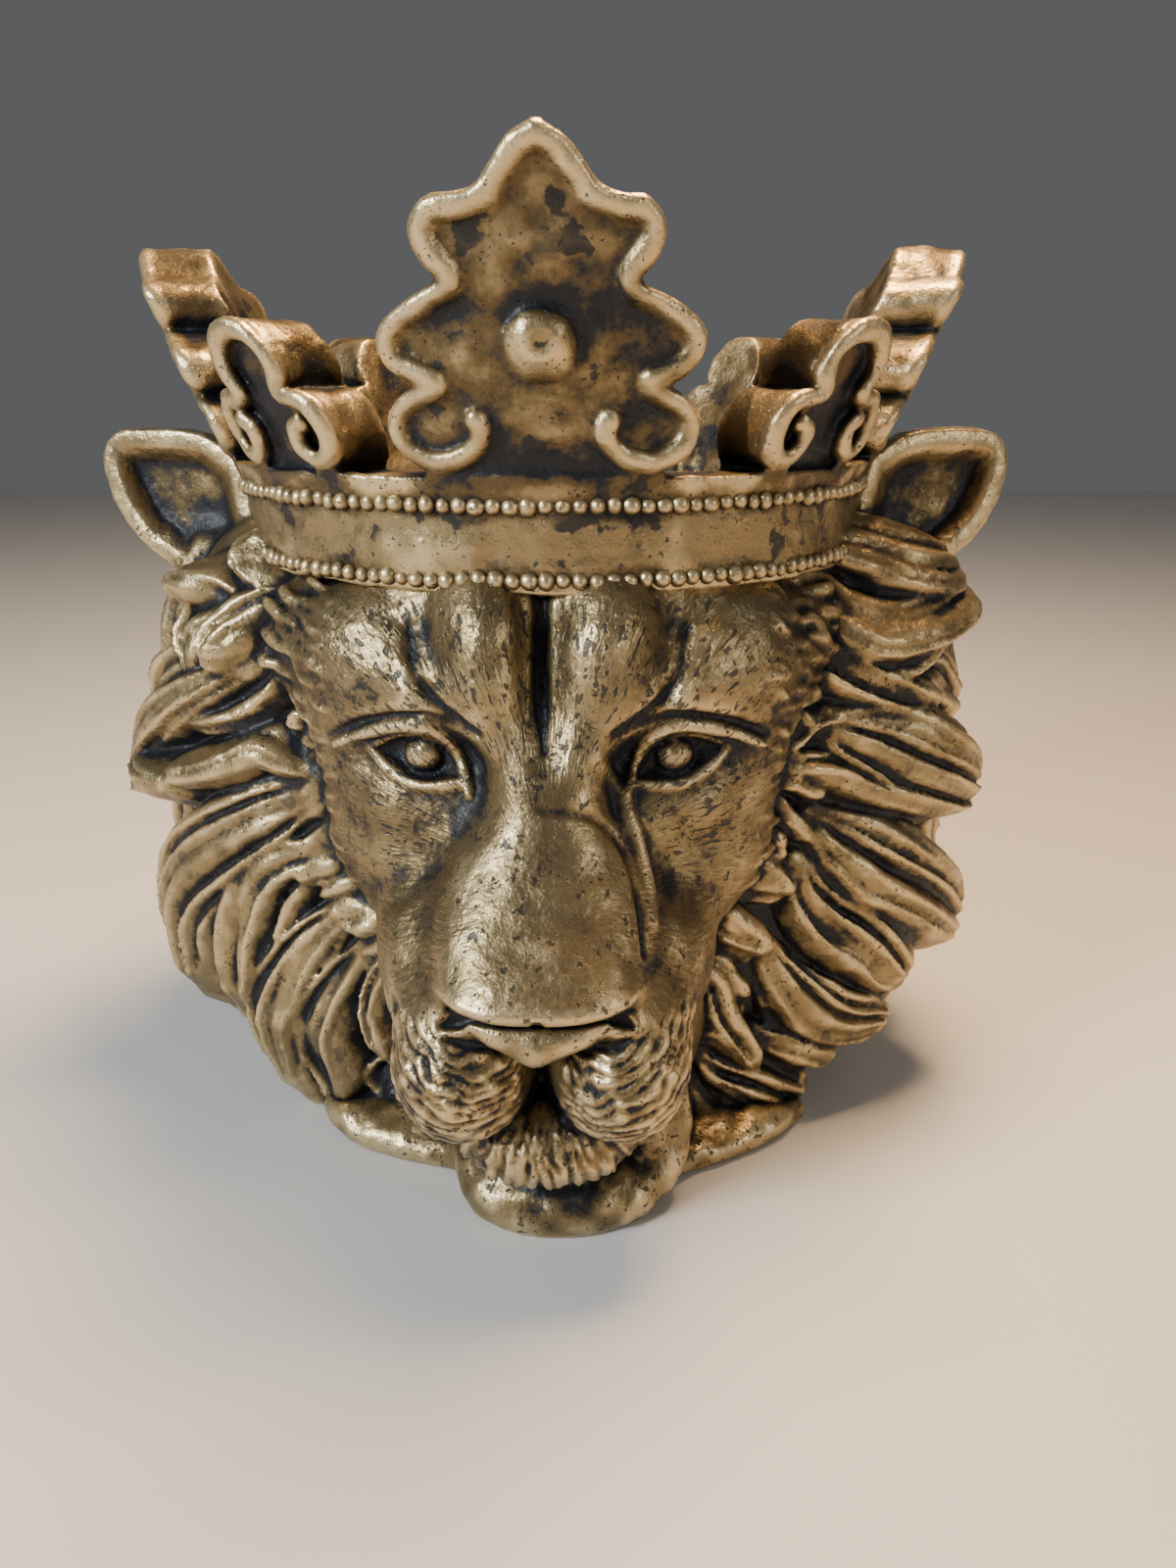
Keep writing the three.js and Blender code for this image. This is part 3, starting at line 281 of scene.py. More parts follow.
FACE_EDGE = ((96, 66), (119, 76), (147, 84), (177, 86), (206, 84), (240, 80))  # height, then across
for side in (1, -1):
    for row, (start, tuft_size) in enumerate(((-3, 1.5), (5, 2.1), (14, 2.7), (25, 3))):
        for height in np.arange(102 + 14 * row + 3 * (row % 2), 246, 4.2 * tuft_size**0.5):
            height = height + rng.uniform(-2.5, 2.5)
            edge = np.interp(height, *zip(*FACE_EDGE)) + start + rng.uniform(-3, 3)
            reach = 4.6 * tuft_size * rng.uniform(0.7, 1.5)
            drop = reach * (rng.uniform(-0.1, 0.9) - (0.7 if side < 0 and height > 190 else 0))
            tuft = [
                (edge, height), (edge + 0.5 * reach, height - 0.2 * drop), (edge + reach, height - drop)]
            tuft = head.on_front([(side * across, up) for across, up in tuft], 0.2 if row > 1 else -0.5)
            if len(tuft) == 3:
                head.add(Strand(tuft, (0.4 * tuft_size, tuft_size, 0.7 * tuft_size)), 1.5)

# The foot: a thick slab under the chin that rises to one side, and a flat lip under the mane on
# either side of it, roughly smoothed by hand.
head.add(Egg((4, -106, 10), (44, 46, 21)), 6)
head.add(Egg((5, -118, 12), (38, 34, 14)), 6)
head.add(Egg((38, -108, 28), (14, 26, 20)), 8)
chin_lip = [(-32, -122, 16), (-27, -136, 9), (-9, -143, 6), (12, -143, 6), (31, -137, 9), (44, -128, 17),
            (49, -119, 30), (47, -112, 44)]
head.add(Strand(chin_lip, (5, 6.5, 8, 8, 7.5, 6.5, 5, 3)), 9)
head.add(Egg((-62, -84, 7), (40, 20, 10), (0, 0, -18)), 6)
left_lip = [(-97, -78, 12), (-84, -90, 8), (-66, -98, 5), (-42, -108, 6), (-30, -114, 10)]
head.add(Strand(left_lip, (3.5, 5, 5, 5, 5)), 8)
head.add(Egg((66, -84, 6), (42, 20, 9), (0, 0, 20)), 6)
right_lip = [(42, -118, 7), (62, -106, 5), (84, -91, 3), (106, -72, 3)]
head.add(Strand(right_lip, (5, 5, 4.5, 3.5)), 8)

# The mane: thick locks of hair, cast with the head, each a ribbon with ridges and deep grooves.
# The locks are drawn on the mane laid flat, by degrees round from the nose and height, as how far
# they stand off it, and the flat drawing is then wrapped round the head.
MANE_SEAT = 18  # of the mane's middle, behind the crown's axis
MANE_WIDE, MANE_DEEP, MANE_FULL = 150, 118, 26
MANE_MIDDLE, MANE_FOOT, MANE_TOP = 122, -18, 250
DEGREE = 2.6  # mm round the mane
MANE_FLOOR = -9


def mane_girth(around, height):
    """How far the mane has drawn in at a height, as a share of its widest."""
    around = np.abs(around)
    top = MANE_TOP + 18 * smooth_step(around, 40, 52) * (1 - smooth_step(around, 80, 96))
    above = np.clip((height - MANE_MIDDLE) / (top - MANE_MIDDLE), 0, 1)
    below = np.clip((MANE_MIDDLE - height) / (MANE_MIDDLE - MANE_FOOT), 0, 1)
    tuck = 1 - (1 - below**3.2) ** (1 / 3.2)
    return np.minimum((1 - above**5) ** 0.2, 1 - tuck * (0.3 + 0.7 * smooth_step(around, 40, 66)))


def on_mane(around, height, lift):
    full = MANE_FULL * smooth_step(np.abs(around), 34, 74)
    girth = mane_girth(around, height)
    wide, deep = (MANE_WIDE + full) * girth + lift, (MANE_DEEP + full) * girth + lift
    a = np.radians(around)
    return wide * np.sin(a), MANE_SEAT - deep * np.cos(a), wide, deep


def read_drawing(grid, u, v):
    """The values of a flat drawing between its places, which lie a millimetre apart."""
    u = np.clip(u, 0, grid.shape[0] - 1.01)
    v = np.clip(v, 0, grid.shape[1] - 1.01)
    i, j = u.astype(int), v.astype(int)
    f, g = u - i, v - j
    low = grid[i, j] * (1 - f) + grid[i + 1, j] * f
    high = grid[i, j + 1] * (1 - f) + grid[i + 1, j + 1] * f
    return low * (1 - g) + high * g


class FlatMane:
    """The drawing of the locks: rows by millimetres round, columns by millimetres up."""

    def __init__(self):
        self.round = np.arange(-180 * DEGREE, 180 * DEGREE + 1)
        self.up = np.arange(-16, 270)
        self.lift = np.full((len(self.round), len(self.up)), MANE_FLOOR, float)

    def lay(self, path, width, ridges, lift, seed=0):
        line = smooth_line([(around * DEGREE, height) for around, height in path], 8 * (len(path) - 1))
        low, high = line.min(0) - width, line.max(0) + width
        rows = slice(*np.searchsorted(self.round, (low[0], high[0])))
        columns = slice(*np.searchsorted(self.up, (low[1], high[1])))
        s, h = np.ix_(self.round[rows], self.up[columns])
        gap = np.full((s.size, h.size), 1e3)
        along, across = np.zeros(gap.shape), np.zeros(gap.shape)
        for i, (p, q) in enumerate(zip(line, line[1:])):
            run, rise = q - p
            length = math.hypot(run, rise)
            t = np.clip(((s - p[0]) * run + (h - p[1]) * rise) / length**2, 0, 1)
            away = np.hypot(s - p[0] - t * run, h - p[1] - t * rise)
            nearer = away < gap
            gap = np.where(nearer, away, gap)
            along = np.where(nearer, (i + t) / (len(line) - 1), along)
            across = np.where(nearer, ((s - p[0]) * rise - (h - p[1]) * run) / length, across)
        half = 0.5 * width * np.interp(along, (0, 0.2, 0.5, 0.85, 1), (0.4, 0.75, 1, 0.85, 0.5))
        place = 0.4 + ridges * (0.5 + 0.5 * across / half) + 0.16 * np.sin(7 * along + 2.1 * seed)
        place = place + 0.2 * np.sin(math.pi * place + seed)
        valley = np.where(place % 1 < 0.66, place % 1 / 0.66, (1 - place % 1) / 0.34)
        fine = np.abs(2 * ((2.2 * place + 0.4 * np.sin(5 * along + seed)) % 1) - 1) ** 2
        deep = min(0.7 * width / (ridges + 0.2), 9.5) * smooth_step(along, -0.02, 0.2)
        deep = deep * (1 - 0.75 * smooth_step(along, 0.86, 1))
        rounding = np.clip(1 - (gap / half) ** 2, -9, 1)
        height = lift * np.interp(along, (0, 0.25, 0.7, 0.93, 1), (0.12, 0.55, 1, 1.04, 0.8))
        height = height - 0.3 * half * (1 - np.sqrt(np.maximum(rounding, 0)))
        height = height - 2.2 * np.maximum(gap - half, 0)
        uneven = 0.75 + 0.45 * np.sin(1.9 * np.floor(place) + 1.3 * seed)
        height = height - deep * uneven * valley**1.25 - 0.3 * deep * fine
        height += 0.8 * np.sin(2.3 * seed + 9 * along)
        self.lift[rows, columns] = -smooth_min(-self.lift[rows, columns], -height, 1)

    def read(self, around, height):
        return read_drawing(self.lift, around * DEGREE - self.round[0], height - self.up[0])


class WrappedMane:
    """The mane round the head: the drawing's lifts, or the plain floor that they stand on."""

    low, high = (-200, -160, -4), (200, 184, 270)

    def __init__(self, drawing=None, plain_lift=0):
        self.drawing, self.plain_lift = drawing, plain_lift

    def distance(self, x, y, z):
        px, py = x, MANE_SEAT - y
        z = np.broadcast_to(z, np.broadcast_shapes(x.shape, y.shape, z.shape))
        around = np.degrees(np.arctan2(px * MANE_DEEP, py * MANE_WIDE)) + 0 * z
        for _ in range(2):
            _, _, wide, deep = on_mane(around, z, 4)
            around = np.degrees(np.arctan2(px * deep, py * wide))
        lift = self.drawing.read(around, z) if self.drawing else self.plain_lift
        x1, y1, _, _ = on_mane(around, z, lift)
        return (0.7 * (np.hypot(px, py) - np.hypot(x1, MANE_SEAT - y1))).astype(np.float32)


# Each lock: its path from the face outwards, its width, ridges and lift.
LEFT_LOCKS = [
    ([(55, 232), (60, 221), (60, 204)], 26, 2, 8), ([(62, 60), (70, 40), (72, 8)], 34, 3, 5),
    ([(82, 240), (87, 200), (86, 158)], 40, 4, 9), ([(82, 150), (90, 105), (88, 58)], 38, 3, 8),
    ([(60, 208), (67, 195), (75, 176)], 18, 2, 10),
    ([(40, 236), (45, 237), (49, 242), (55, 251)], 15, 2, 12),
    ([(42, 244), (47, 248), (53, 257)], 12, 1, 10), ([(50, 226), (58, 230), (68, 232)], 16, 1, 12),
    ([(40, 230), (46, 230), (50, 226), (52, 218), (53, 206)], 21, 2, 14),
    ([(37, 214), (40, 220), (42, 213)], 8, 1, 7), ([(38, 197), (40, 199), (42, 207)], 8, 1, 6),
    ([(47, 206), (56, 194), (66, 179), (75, 162), (75, 147), (64, 149)], 16, 2, 21),
    ([(45, 200), (48, 191), (52, 182), (57, 177), (64, 176)], 8, 1, 6),
    ([(37, 161), (43, 165), (47, 169), (54, 161), (66, 150)], 12, 2, 14),
    ([(36, 181), (39, 186), (42, 182)], 9, 1, 6),
    ([(39, 154), (47, 143), (55, 127), (63, 104), (69, 76), (71, 45)], 42, 4, 18),
    ([(37, 131), (45, 118), (50, 99), (53, 78), (53, 52)], 28, 2, 16),
    ([(34, 105), (42, 85), (47, 65), (48, 43), (46, 10)], 30, 3, 17),
    ([(31, 90), (38, 69), (40, 50), (39, 34), (37, 10)], 24, 2, 15),
    ([(24, 93), (28, 77), (30, 60), (28, 44)], 14, 2, 10),
    ([(29, 37), (32, 25), (28, 15), (20, 13)], 12, 1, 10),
    ([(34, 127), (38, 120), (42, 116)], 10, 2, 6), ([(26, 114), (27, 104), (32, 97)], 9, 1, 6),
]
RIGHT_LOCKS = [
    ([(80, 238), (86, 200), (88, 162)], 40, 4, 9), ([(80, 150), (87, 105), (86, 60)], 38, 3, 8),
    ([(62, 60), (70, 40), (73, 10)], 34, 3, 5), ([(62, 200), (72, 190), (80, 172)], 26, 2, 8),
    ([(38, 229), (42, 229), (47, 221)], 13, 2, 8),
    ([(38, 210), (43, 209), (49, 199), (62, 186)], 17, 2, 12),
    ([(48, 212), (51, 205), (56, 202), (64, 211)], 9, 1, 12),
    ([(41, 230), (46, 222), (51, 214), (60, 214), (80, 223)], 17, 2, 18),
    ([(48, 238), (50, 228), (55, 222), (63, 227), (74, 236)], 9, 1, 13),
    ([(49, 252), (56, 250), (62, 244), (75, 236)], 32, 4, 16),
    ([(36, 180), (39, 176), (46, 184)], 10, 1, 7),
    ([(38, 167), (44, 163), (51, 152), (69, 133)], 11, 1, 14),
    ([(45, 182), (53, 172), (61, 161), (78, 136)], 38, 4, 21),
    ([(44, 140), (51, 126), (59, 107), (76, 70)], 40, 4, 20),
    ([(41, 122), (46, 99), (52, 83), (61, 58)], 29, 3, 16),
    ([(36, 87), (41, 64), (48, 48), (62, 33)], 28, 3, 16),
    ([(33, 117), (35, 124), (39, 113)], 10, 1, 7), ([(34, 49), (39, 39), (51, 23)], 14, 2, 12),
    ([(20, 95), (25, 105), (29, 100), (34, 90)], 15, 2, 10),
    ([(21, 87), (26, 76), (28, 57), (34, 33)], 15, 2, 10),
    ([(24, 44), (30, 30), (37, 20), (46, 10)], 23, 2, 14), ([(26, 24), (33, 12), (42, 3)], 17, 2, 14),
    ([(22, 23), (26, 13), (29, 3)], 10, 1, 9), ([(20, 55), (25, 52), (31, 38)], 10, 1, 8),
]
# The back isn't seen: each row of its locks by top, bottom, count, width and lift.
BACK_ROWS = [(112, 6, 9, 50, 7), (182, 84, 8, 58, 10), (240, 150, 9, 52, 9)]
drawing = FlatMane()
for i, around in enumerate(range(84, 280, 7)):
    for turn in (0, 360):
        under = [(around - turn, 254), (around - turn + 4, 130), (around - turn, -2)]
        drawing.lay(under, 25, 3, -3, i)
for row, (top, bottom, count, width, lift) in enumerate(BACK_ROWS):
    for i in range(count):
        around = 84 + 192 * (i + 0.5) / count
        swing = (7 if i % 2 else -7) + 3 * math.sin(3 * i + row)
        path = [
            (around, top), (around + swing, 0.6 * top + 0.4 * bottom), (around + 0.4 * swing, bottom)]
        for turn in (0, 360):
            drawing.lay([(a - turn, h) for a, h in path], width, 4, lift + i % 3, i + row)
rng = np.random.default_rng(11)
for side, locks in ((-1, LEFT_LOCKS), (1, RIGHT_LOCKS)):
    for height in range(46, 240, 6):
        root = np.interp(height, (60, 95, 120, 150), (18, 23, 28, 31)) + rng.uniform(-1, 1)
        reach, drop = rng.uniform(8, 13), rng.uniform(2, 16)
        tuft = [(root, height), (root + 0.5 * reach, height - 0.1 * drop), (root + reach, height - drop)]
        drawing.lay([(side * a, h) for a, h in tuft], rng.uniform(6, 9), 2, rng.uniform(1, 5), height)
    for i, (path, width, ridges, lift) in enumerate(locks):
        drawing.lay([(side * a, h) for a, h in path], width, ridges, lift, i)

MANE_SHELL = 20
head.add(WrappedMane(plain_lift=MANE_FLOOR - 1), 6)
mane = Clay(BLOCK_LOW, BLOCK_HIGH, CELL)
mane.add(WrappedMane(drawing), 0.5)
mane.carve(WrappedMane(plain_lift=MANE_FLOOR - MANE_SHELL), 0.5)

# The ears: cups with a thick rim, flat on top and drawn to a point below. They are cast with the
# head, behind the crown's band, and each stands on a thick root.
EAR_OUTLINE = [
    (131, 279), (147, 289), (170, 291), (189, 289), (196, 279), (193, 262), (184, 246), (170, 235),
    (152, 224), (134, 232), (127, 256), (131, 279),
]
EAR_CUP = 8
EAR_RIM = 4


def line_distance(x, y, line):
    best = np.full(x.shape, 1e3, np.float32)
    for (ax, ay), (bx, by) in zip(line, line[1:]):
        sx, sy = bx - ax, by - ay
        t = np.clip(((x - ax) * sx + (y - ay) * sy) / (sx * sx + sy * sy), 0, 1)
        best = np.minimum(best, np.hypot(x - ax - t * sx, y - ay - t * sy))
    return best


def is_inside(x, y, line):
    inside = np.zeros(x.shape, bool)
    for (ax, ay), (bx, by) in zip(line, line[1:]):
        if ay == by:
            continue
        crosses = ((ay > y) != (by > y)) & (x < ax + (y - ay) / (by - ay) * (bx - ax))
        inside ^= crosses
    return inside


class Ear:
    def __init__(self, side):
        self.side = side
        self.outline = [tuple(p) for p in smooth_line(EAR_OUTLINE, 3 * (len(EAR_OUTLINE) - 1))]
        reach = sorted((side * 118, side * 206))
        self.low, self.high = (reach[0], -22, 218), (reach[1], 38, 299)

    def distance(self, x, y, z):
        across = self.side * x
        flat_x, flat_z = np.broadcast_arrays(across, z)
        edge = line_distance(flat_x, flat_z, self.outline)
        edge = np.where(is_inside(flat_x, flat_z, self.outline), -edge, edge) + 3
        out = 2 + 0.3 * (across - 160) - y
        inner = np.maximum(-edge - EAR_RIM, 0)
        back = 6 + 16 * np.sqrt(np.clip(-edge / 26, 0, 1))
        body = np.maximum(np.maximum(edge, out - 4), -out - back)
        cup = np.minimum(EAR_CUP, 1.1 * inner)
        return (np.maximum(body, np.minimum(out - 4 + cup, 9)) - 3).astype(np.float32)


for side in (1, -1):
    mane.add(Ear(side), 4)
    mane.add(Strand([(146 * side, 14, 238), (128 * side, 8, 214)], (20, 15)), 6)

# The hollow: a belly that follows the head, under a neck that the crown lines. It holds the soil.
# The photograph doesn't show it, so its shape is a guess.
FLOOR_THICKNESS = 26
SHOULDER = 219
BELLY_PROFILE = ((0, 0.72), (0.1, 0.9), (0.32, 1), (0.7, 1), (1, 1))
NECK_RADIUS = 110


class Hollow:
    low, high = (-140, -130, FLOOR_THICKNESS), (140, 150, 300)

    def distance(self, x, y, z):
        up = (z - FLOOR_THICKNESS) / (SHOULDER - FLOOR_THICKNESS)
        inside = 1 - smooth_step(up, 0.7, 1)
        share = np.interp(up, *zip(*BELLY_PROFILE))
        deep = NECK_RADIUS + (106 * share - NECK_RADIUS) * inside
        wide = NECK_RADIUS + (136 * share - NECK_RADIUS) * inside
        near = np.hypot(x / wide, (y - 20 * inside) / deep)
        return np.maximum((near - 1) * np.minimum(wide, deep), FLOOR_THICKNESS - z).astype(np.float32)


class Ground:
    low, high = (-210, -210, -10), (210, 210, 0)

    def distance(self, x, y, z):
        return np.broadcast_to(z, np.broadcast_shapes(x.shape, y.shape, z.shape)).astype(np.float32)


for clay in (head, mane):
    clay.carve(Hollow(), 3)
    clay.carve(Ground(), 0.5)


def box_blur(block, cells):
    """The mean of each cell's neighbours that many cells each way."""
    for axis in range(3):
        pads = [(cells + 1, cells) if a == axis else (0, 0) for a in range(3)]
        padded = np.pad(block, pads, mode="edge")
        total = np.cumsum(padded, axis=axis, dtype=np.float64)
        low = [slice(0, -2 * cells - 1) if a == axis else slice(None) for a in range(3)]
        high = [slice(2 * cells + 1, None) if a == axis else slice(None) for a in range(3)]
        block = ((total[tuple(high)] - total[tuple(low)]) / (2 * cells + 1)).astype(np.float32)
    return block


def sample(block, clay, points):
    """Trilinear values of a block at places in millimetres."""
    at = (points - [axis[0] for axis in clay.axes]) / clay.cell
    at = np.clip(at, 0, np.array(block.shape) - 1.001)
    i = at.astype(int)
    f = at - i
    total = 0
    for corner in np.ndindex(2, 2, 2):
        weight = np.prod(np.where(corner, f, 1 - f), axis=1)
        total = total + weight * block[tuple((i + corner).T)]
    return total


def ripple(points, size, seed):
    """Smooth random waves of about that size, between -1 and 1."""
    lattice = np.random.default_rng(seed).uniform(-1, 1, (32, 32, 32))
    at = points / size
    i = np.floor(at).astype(int)
    f = at - i
    f = f * f * (3 - 2 * f)
    total = 0
    for corner in np.ndindex(2, 2, 2):
        weight = np.prod(np.where(corner, f, 1 - f), axis=1)
        total = total + weight * lattice[tuple((i + corner).T % 32)]
    return total


def hand_marks(points):
    """The slight unevenness that a modeller's hands leave."""
    return 0.5 * ripple(points, 15, 1) + 0.3 * ripple(points, 6, 2)


def face_fur(points):
    """Wavy rows of fur on the whisker pads, and fine hair on the beard."""
    x, y, z = points.T
    off_middle = np.abs(x - MUZZLE_MIDDLE)
    away = np.hypot(off_middle - 20, z - 112) + 3 * ripple(points, 8, 3)
    row = np.abs(2 * (away / 4 % 1) - 1)
    pad = smooth_step(off_middle, 4, 9) * (1 - smooth_step(off_middle, 52, 60)) * (y < -128)
    pad *= smooth_step(z, 54, 60) * (1 - smooth_step(z, 102, 108))
    pad *= 1 - smooth_step(z - 0.41 * off_middle, 87, 91)
    fur = 1.2 * (1 - row**1.5) - 0.7 + 0.8 * ripple(points, 3.6, 4)
    top = 62 - 11 * (off_middle / 32) ** 2
    beard = (1 - smooth_step(z, top - 5, top - 1)) * smooth_step(z, 20, 25)
    beard *= 1 - smooth_step(off_middle, 36, 42)
    beard *= y < -116
    lock = np.arctan2(x - MUZZLE_MIDDLE, 96 - z) * 14 + 0.7 * ripple(points, 8, 5)
    hair = np.abs(2 * (lock % 1) - 1) - 0.5 + 0.5 * ripple(points, 4, 6)
    return pad * fur + beard * hair


def face_marks(points):
    rough_foot = 1.1 * ripple(points, 7, 8) * (1 - smooth_step(points[:, 2], 20, 32))
    return hand_marks(points) + rough_foot + face_fur(points)


def no_fur(points):
    return np.zeros(len(points))


def take_skin(clay, name, most_faces, marks):
    """The clay's surface as a Blender object, with the marks pressed into it, thinned."""
    grid = openvdb.FloatGrid(4 * clay.cell)
    grid.copyFromArray(clay.value)
    points, triangles, quads = grid.convertToPolygons(isovalue=0.0, adaptivity=0.0)
    places = points * clay.cell + [float(axis[0]) for axis in clay.axes]
    moves = clay.cell * np.vstack([np.eye(3), -np.eye(3)])
    steps = [sample(clay.value, clay, places + move) for move in moves]
    outward = np.stack([steps[axis] - steps[axis + 3] for axis in range(3)], axis=1)
    outward /= np.maximum(np.linalg.norm(outward, axis=1, keepdims=True), 1e-6)
    places += outward * (marks(places) * smooth_step(places[:, 2], 1, 4))[:, None]
    mesh = bpy.data.meshes.new(name)
    corners = np.concatenate([triangles.ravel(), quads.ravel()]).astype(np.int32)
    starts = np.concatenate([
        np.arange(len(triangles)) * 3, len(triangles) * 3 + np.arange(len(quads)) * 4]).astype(np.int32)
    mesh.vertices.add(len(places))
    mesh.vertices.foreach_set("co", places.astype(np.float32).ravel())
    mesh.loops.add(len(corners))
    mesh.loops.foreach_set("vertex_index", corners)
    mesh.polygons.add(len(starts))
    mesh.polygons.foreach_set("loop_start", starts)
    mesh.update(calc_edges=True)
    mesh.validate()
    whole = bpy.data.objects.new(name, mesh)
    bpy.context.scene.collection.objects.link(whole)
    thinning = whole.modifiers.new("thinning", "DECIMATE")
    thinning.use_collapse_triangulate = True
    thinning.ratio = min(1, most_faces / (len(triangles) + 2 * len(quads)))
    depsgraph = bpy.context.evaluated_depsgraph_get()
    thin = bpy.data.meshes.new_from_object(whole.evaluated_get(depsgraph))
    whole.modifiers.clear()
    whole.data = thin
    thin.name = name
    bpy.data.meshes.remove(mesh)
    return whole


def store_depth(piece, clay, filled, fur, dull):
    """Stores how deep each point lies between its neighbours, near by and further out, and how
    little gold it took."""
    mesh = piece.data
    points = np.empty(3 * len(mesh.vertices), np.float32)
    mesh.vertices.foreach_get("co", points)
    points = points.reshape(-1, 3)
    stored = {"dull": dull(points), "crease": -0.09 * fur(points), "shelter": 0}
    for name, reach in (("crease", 3.2), ("shelter", 11)):
        cells = max(1, round(reach / clay.cell))
        stored[name] = stored[name] + sample(box_blur(box_blur(filled, cells), cells), clay, points)
    for name, values in stored.items():
        mesh.attributes.new(name, "FLOAT", "POINT").data.foreach_set("value", values.astype(np.float32))


def black_inside(points):
    """The pot's hollow is left black."""
    return 3 * (1 - smooth_step(Hollow().distance(*points.T), 1, 5))


def dull_in_ears(points):
    x, y, z = points.T
    cup = 1 - smooth_step(np.hypot((np.abs(x) - 163) / 27, (z - 264) / 24), 0.75, 1.1)
    return 0.7 * cup * (y < 14) + black_inside(points)


lion_head = take_skin(head, "lion_head", MOST_FACES, face_marks)
lion_mane = take_skin(mane, "lion_mane", MOST_FACES, hand_marks)
whole_head = (np.minimum(head.value, mane.value) < 0).astype(np.float32)
store_depth(lion_head, head, whole_head, face_fur, black_inside)
store_depth(lion_mane, head, whole_head, no_fur, dull_in_ears)

# The crown: the rim of the pot, cast with the head. A band, four tall points and four small ones,
# each a thick slab edged by a rope that ends in scrolls. It leans outwards above the band.
CROWN_CELL = 1.2
CROWN_RADIUS = 127
CROWN_WALL = 25
CROWN_BOTTOM = 242
BAND_HEIGHT = 39
DIPS = CROWN_BOTTOM + BAND_HEIGHT
BEAD_ROWS = (246.5, 271.5)
POINT_THICKNESS = 27
ROPE_RADIUS = 3.6
BOSS_RADIUS = 12.5
LEAN_BELOW, LEAN_ABOVE = 0.12, 0.42
TALL_POINTS = ((0, 95), (90, 80), (180, 80), (270, 80))  # degrees round from the front, and height
TALL_WIDTH = 103
SMALL_POINTS = (45, 135, 225, 317)  # degrees round from the front
SMALL_WIDTH, SMALL_HEIGHT = 62, 49
SLEEVE_MIDDLE, SLEEVE_HALF, SLEEVE_REACH = 240, 20, 5  # a ring over the crown's join in the neck
# Half of each rope, as shares of the point's half width and of its height.
TALL_ROPE = [
    (0, 1), (0.13, 0.965), (0.22, 0.905), (0.3, 0.85), (0.43, 0.82), (0.62, 0.805), (0.7, 0.755),
    (0.65, 0.69), (0.55, 0.625), (0.58, 0.575), (0.76, 0.53), (0.94, 0.475), (1, 0.415),
    (0.95, 0.36), (0.82, 0.32), (0.69, 0.285), (0.77, 0.25), (0.92, 0.21), (1, 0.15), (0.94, 0.06),
    (0.72, 0.01), (0.54, 0.03), (0.43, 0.08), (0.41, 0.13), (0.44, 0.16),
]
SMALL_ROPE = [
    (0, 1), (0.26, 0.97), (0.47, 0.85), (0.54, 0.68), (0.43, 0.52), (0.6, 0.48), (0.82, 0.46),
    (0.97, 0.36), (1, 0.2), (0.9, 0.06), (0.7, 0.01), (0.5, 0.09), (0.46, 0.24), (0.6, 0.3),
]


def crown_radius(z):
    lean = LEAN_BELOW * (z - CROWN_BOTTOM - BAND_HEIGHT / 2)
    return CROWN_RADIUS + lean + (LEAN_ABOVE - LEAN_BELOW) * np.maximum(z - BEAD_ROWS[1], 0)


class CrownPoint:
    """A slab wrapped round the crown's axis, edged by a rope, with a dimpled boss if it is tall."""

    def __init__(self, around, width, height, rope, lowest, recess, boss):
        self.middle = math.radians(around)
        self.height, self.width, self.recess, self.boss = height, width, recess, boss
        rope_across, rope_up = width / 2 - ROPE_RADIUS, height - 2 * ROPE_RADIUS
        half = [(x * rope_across, ROPE_RADIUS + y * rope_up) for x, y in rope]
        self.rope = [tuple(p) for p in smooth_line(half, 3 * (len(half) - 1))]
        right = self.rope[:3 * lowest + 1] + [(half[lowest][0], -BAND_HEIGHT / 2)]
        edge = right + [(-x, y) for x, y in reversed(right)]
        x, y = np.meshgrid(np.arange(0, width), np.arange(-BAND_HEIGHT, height + 9), indexing="ij")
        self.rope_map = line_distance(x, y, self.rope)
        self.edge_map = line_distance(x, y, edge) * np.where(is_inside(x, y, edge), -1, 1) - ROPE_RADIUS
        top = DIPS + height
        reach = crown_radius(top) + ROPE_RADIUS
        corners = [self.turned(across, out) for across in (-width, width) for out in (80, reach)]
        self.low = np.array([*np.min(corners, 0), CROWN_BOTTOM])
        self.high = np.array([*np.max(corners, 0), top])

    def turned(self, across, out):
        c, s = math.cos(self.middle), math.sin(self.middle)
        return (across * c + out * s, across * s - out * c)

    def distance(self, x, y, z):
        turn = np.arctan2(x, -y) - self.middle
        turn = (turn + math.pi) % (2 * math.pi) - math.pi
        outside = crown_radius(z)
        across = np.abs(turn * outside)
        up = np.broadcast_to(z - DIPS, across.shape)
        out = np.hypot(x, y) - outside
        edge = read_drawing(self.edge_map, across, up + BAND_HEIGHT)
        behind = np.maximum(-out - POINT_THICKNESS, CROWN_BOTTOM - z)
        plate = np.maximum(np.maximum(edge, out + self.recess), behind)
        to_rope = read_drawing(self.rope_map, across, up + BAND_HEIGHT)
        rope = np.hypot(to_rope, out + 1) - ROPE_RADIUS
        shape = smooth_min(plate, rope, 1.5)
        if self.boss:
            middle = up - 0.42 * self.height
            dome = np.sqrt(across**2 + middle**2 + (out + BOSS_RADIUS / 2) ** 2) - BOSS_RADIUS
            dimple = np.sqrt(across**2 + middle**2 + (out - BOSS_RADIUS / 2 - 2.5) ** 2) - 4.5
            shape = -smooth_min(-smooth_min(shape, dome, 1.5), dimple, 2)
        return shape.astype(np.float32)


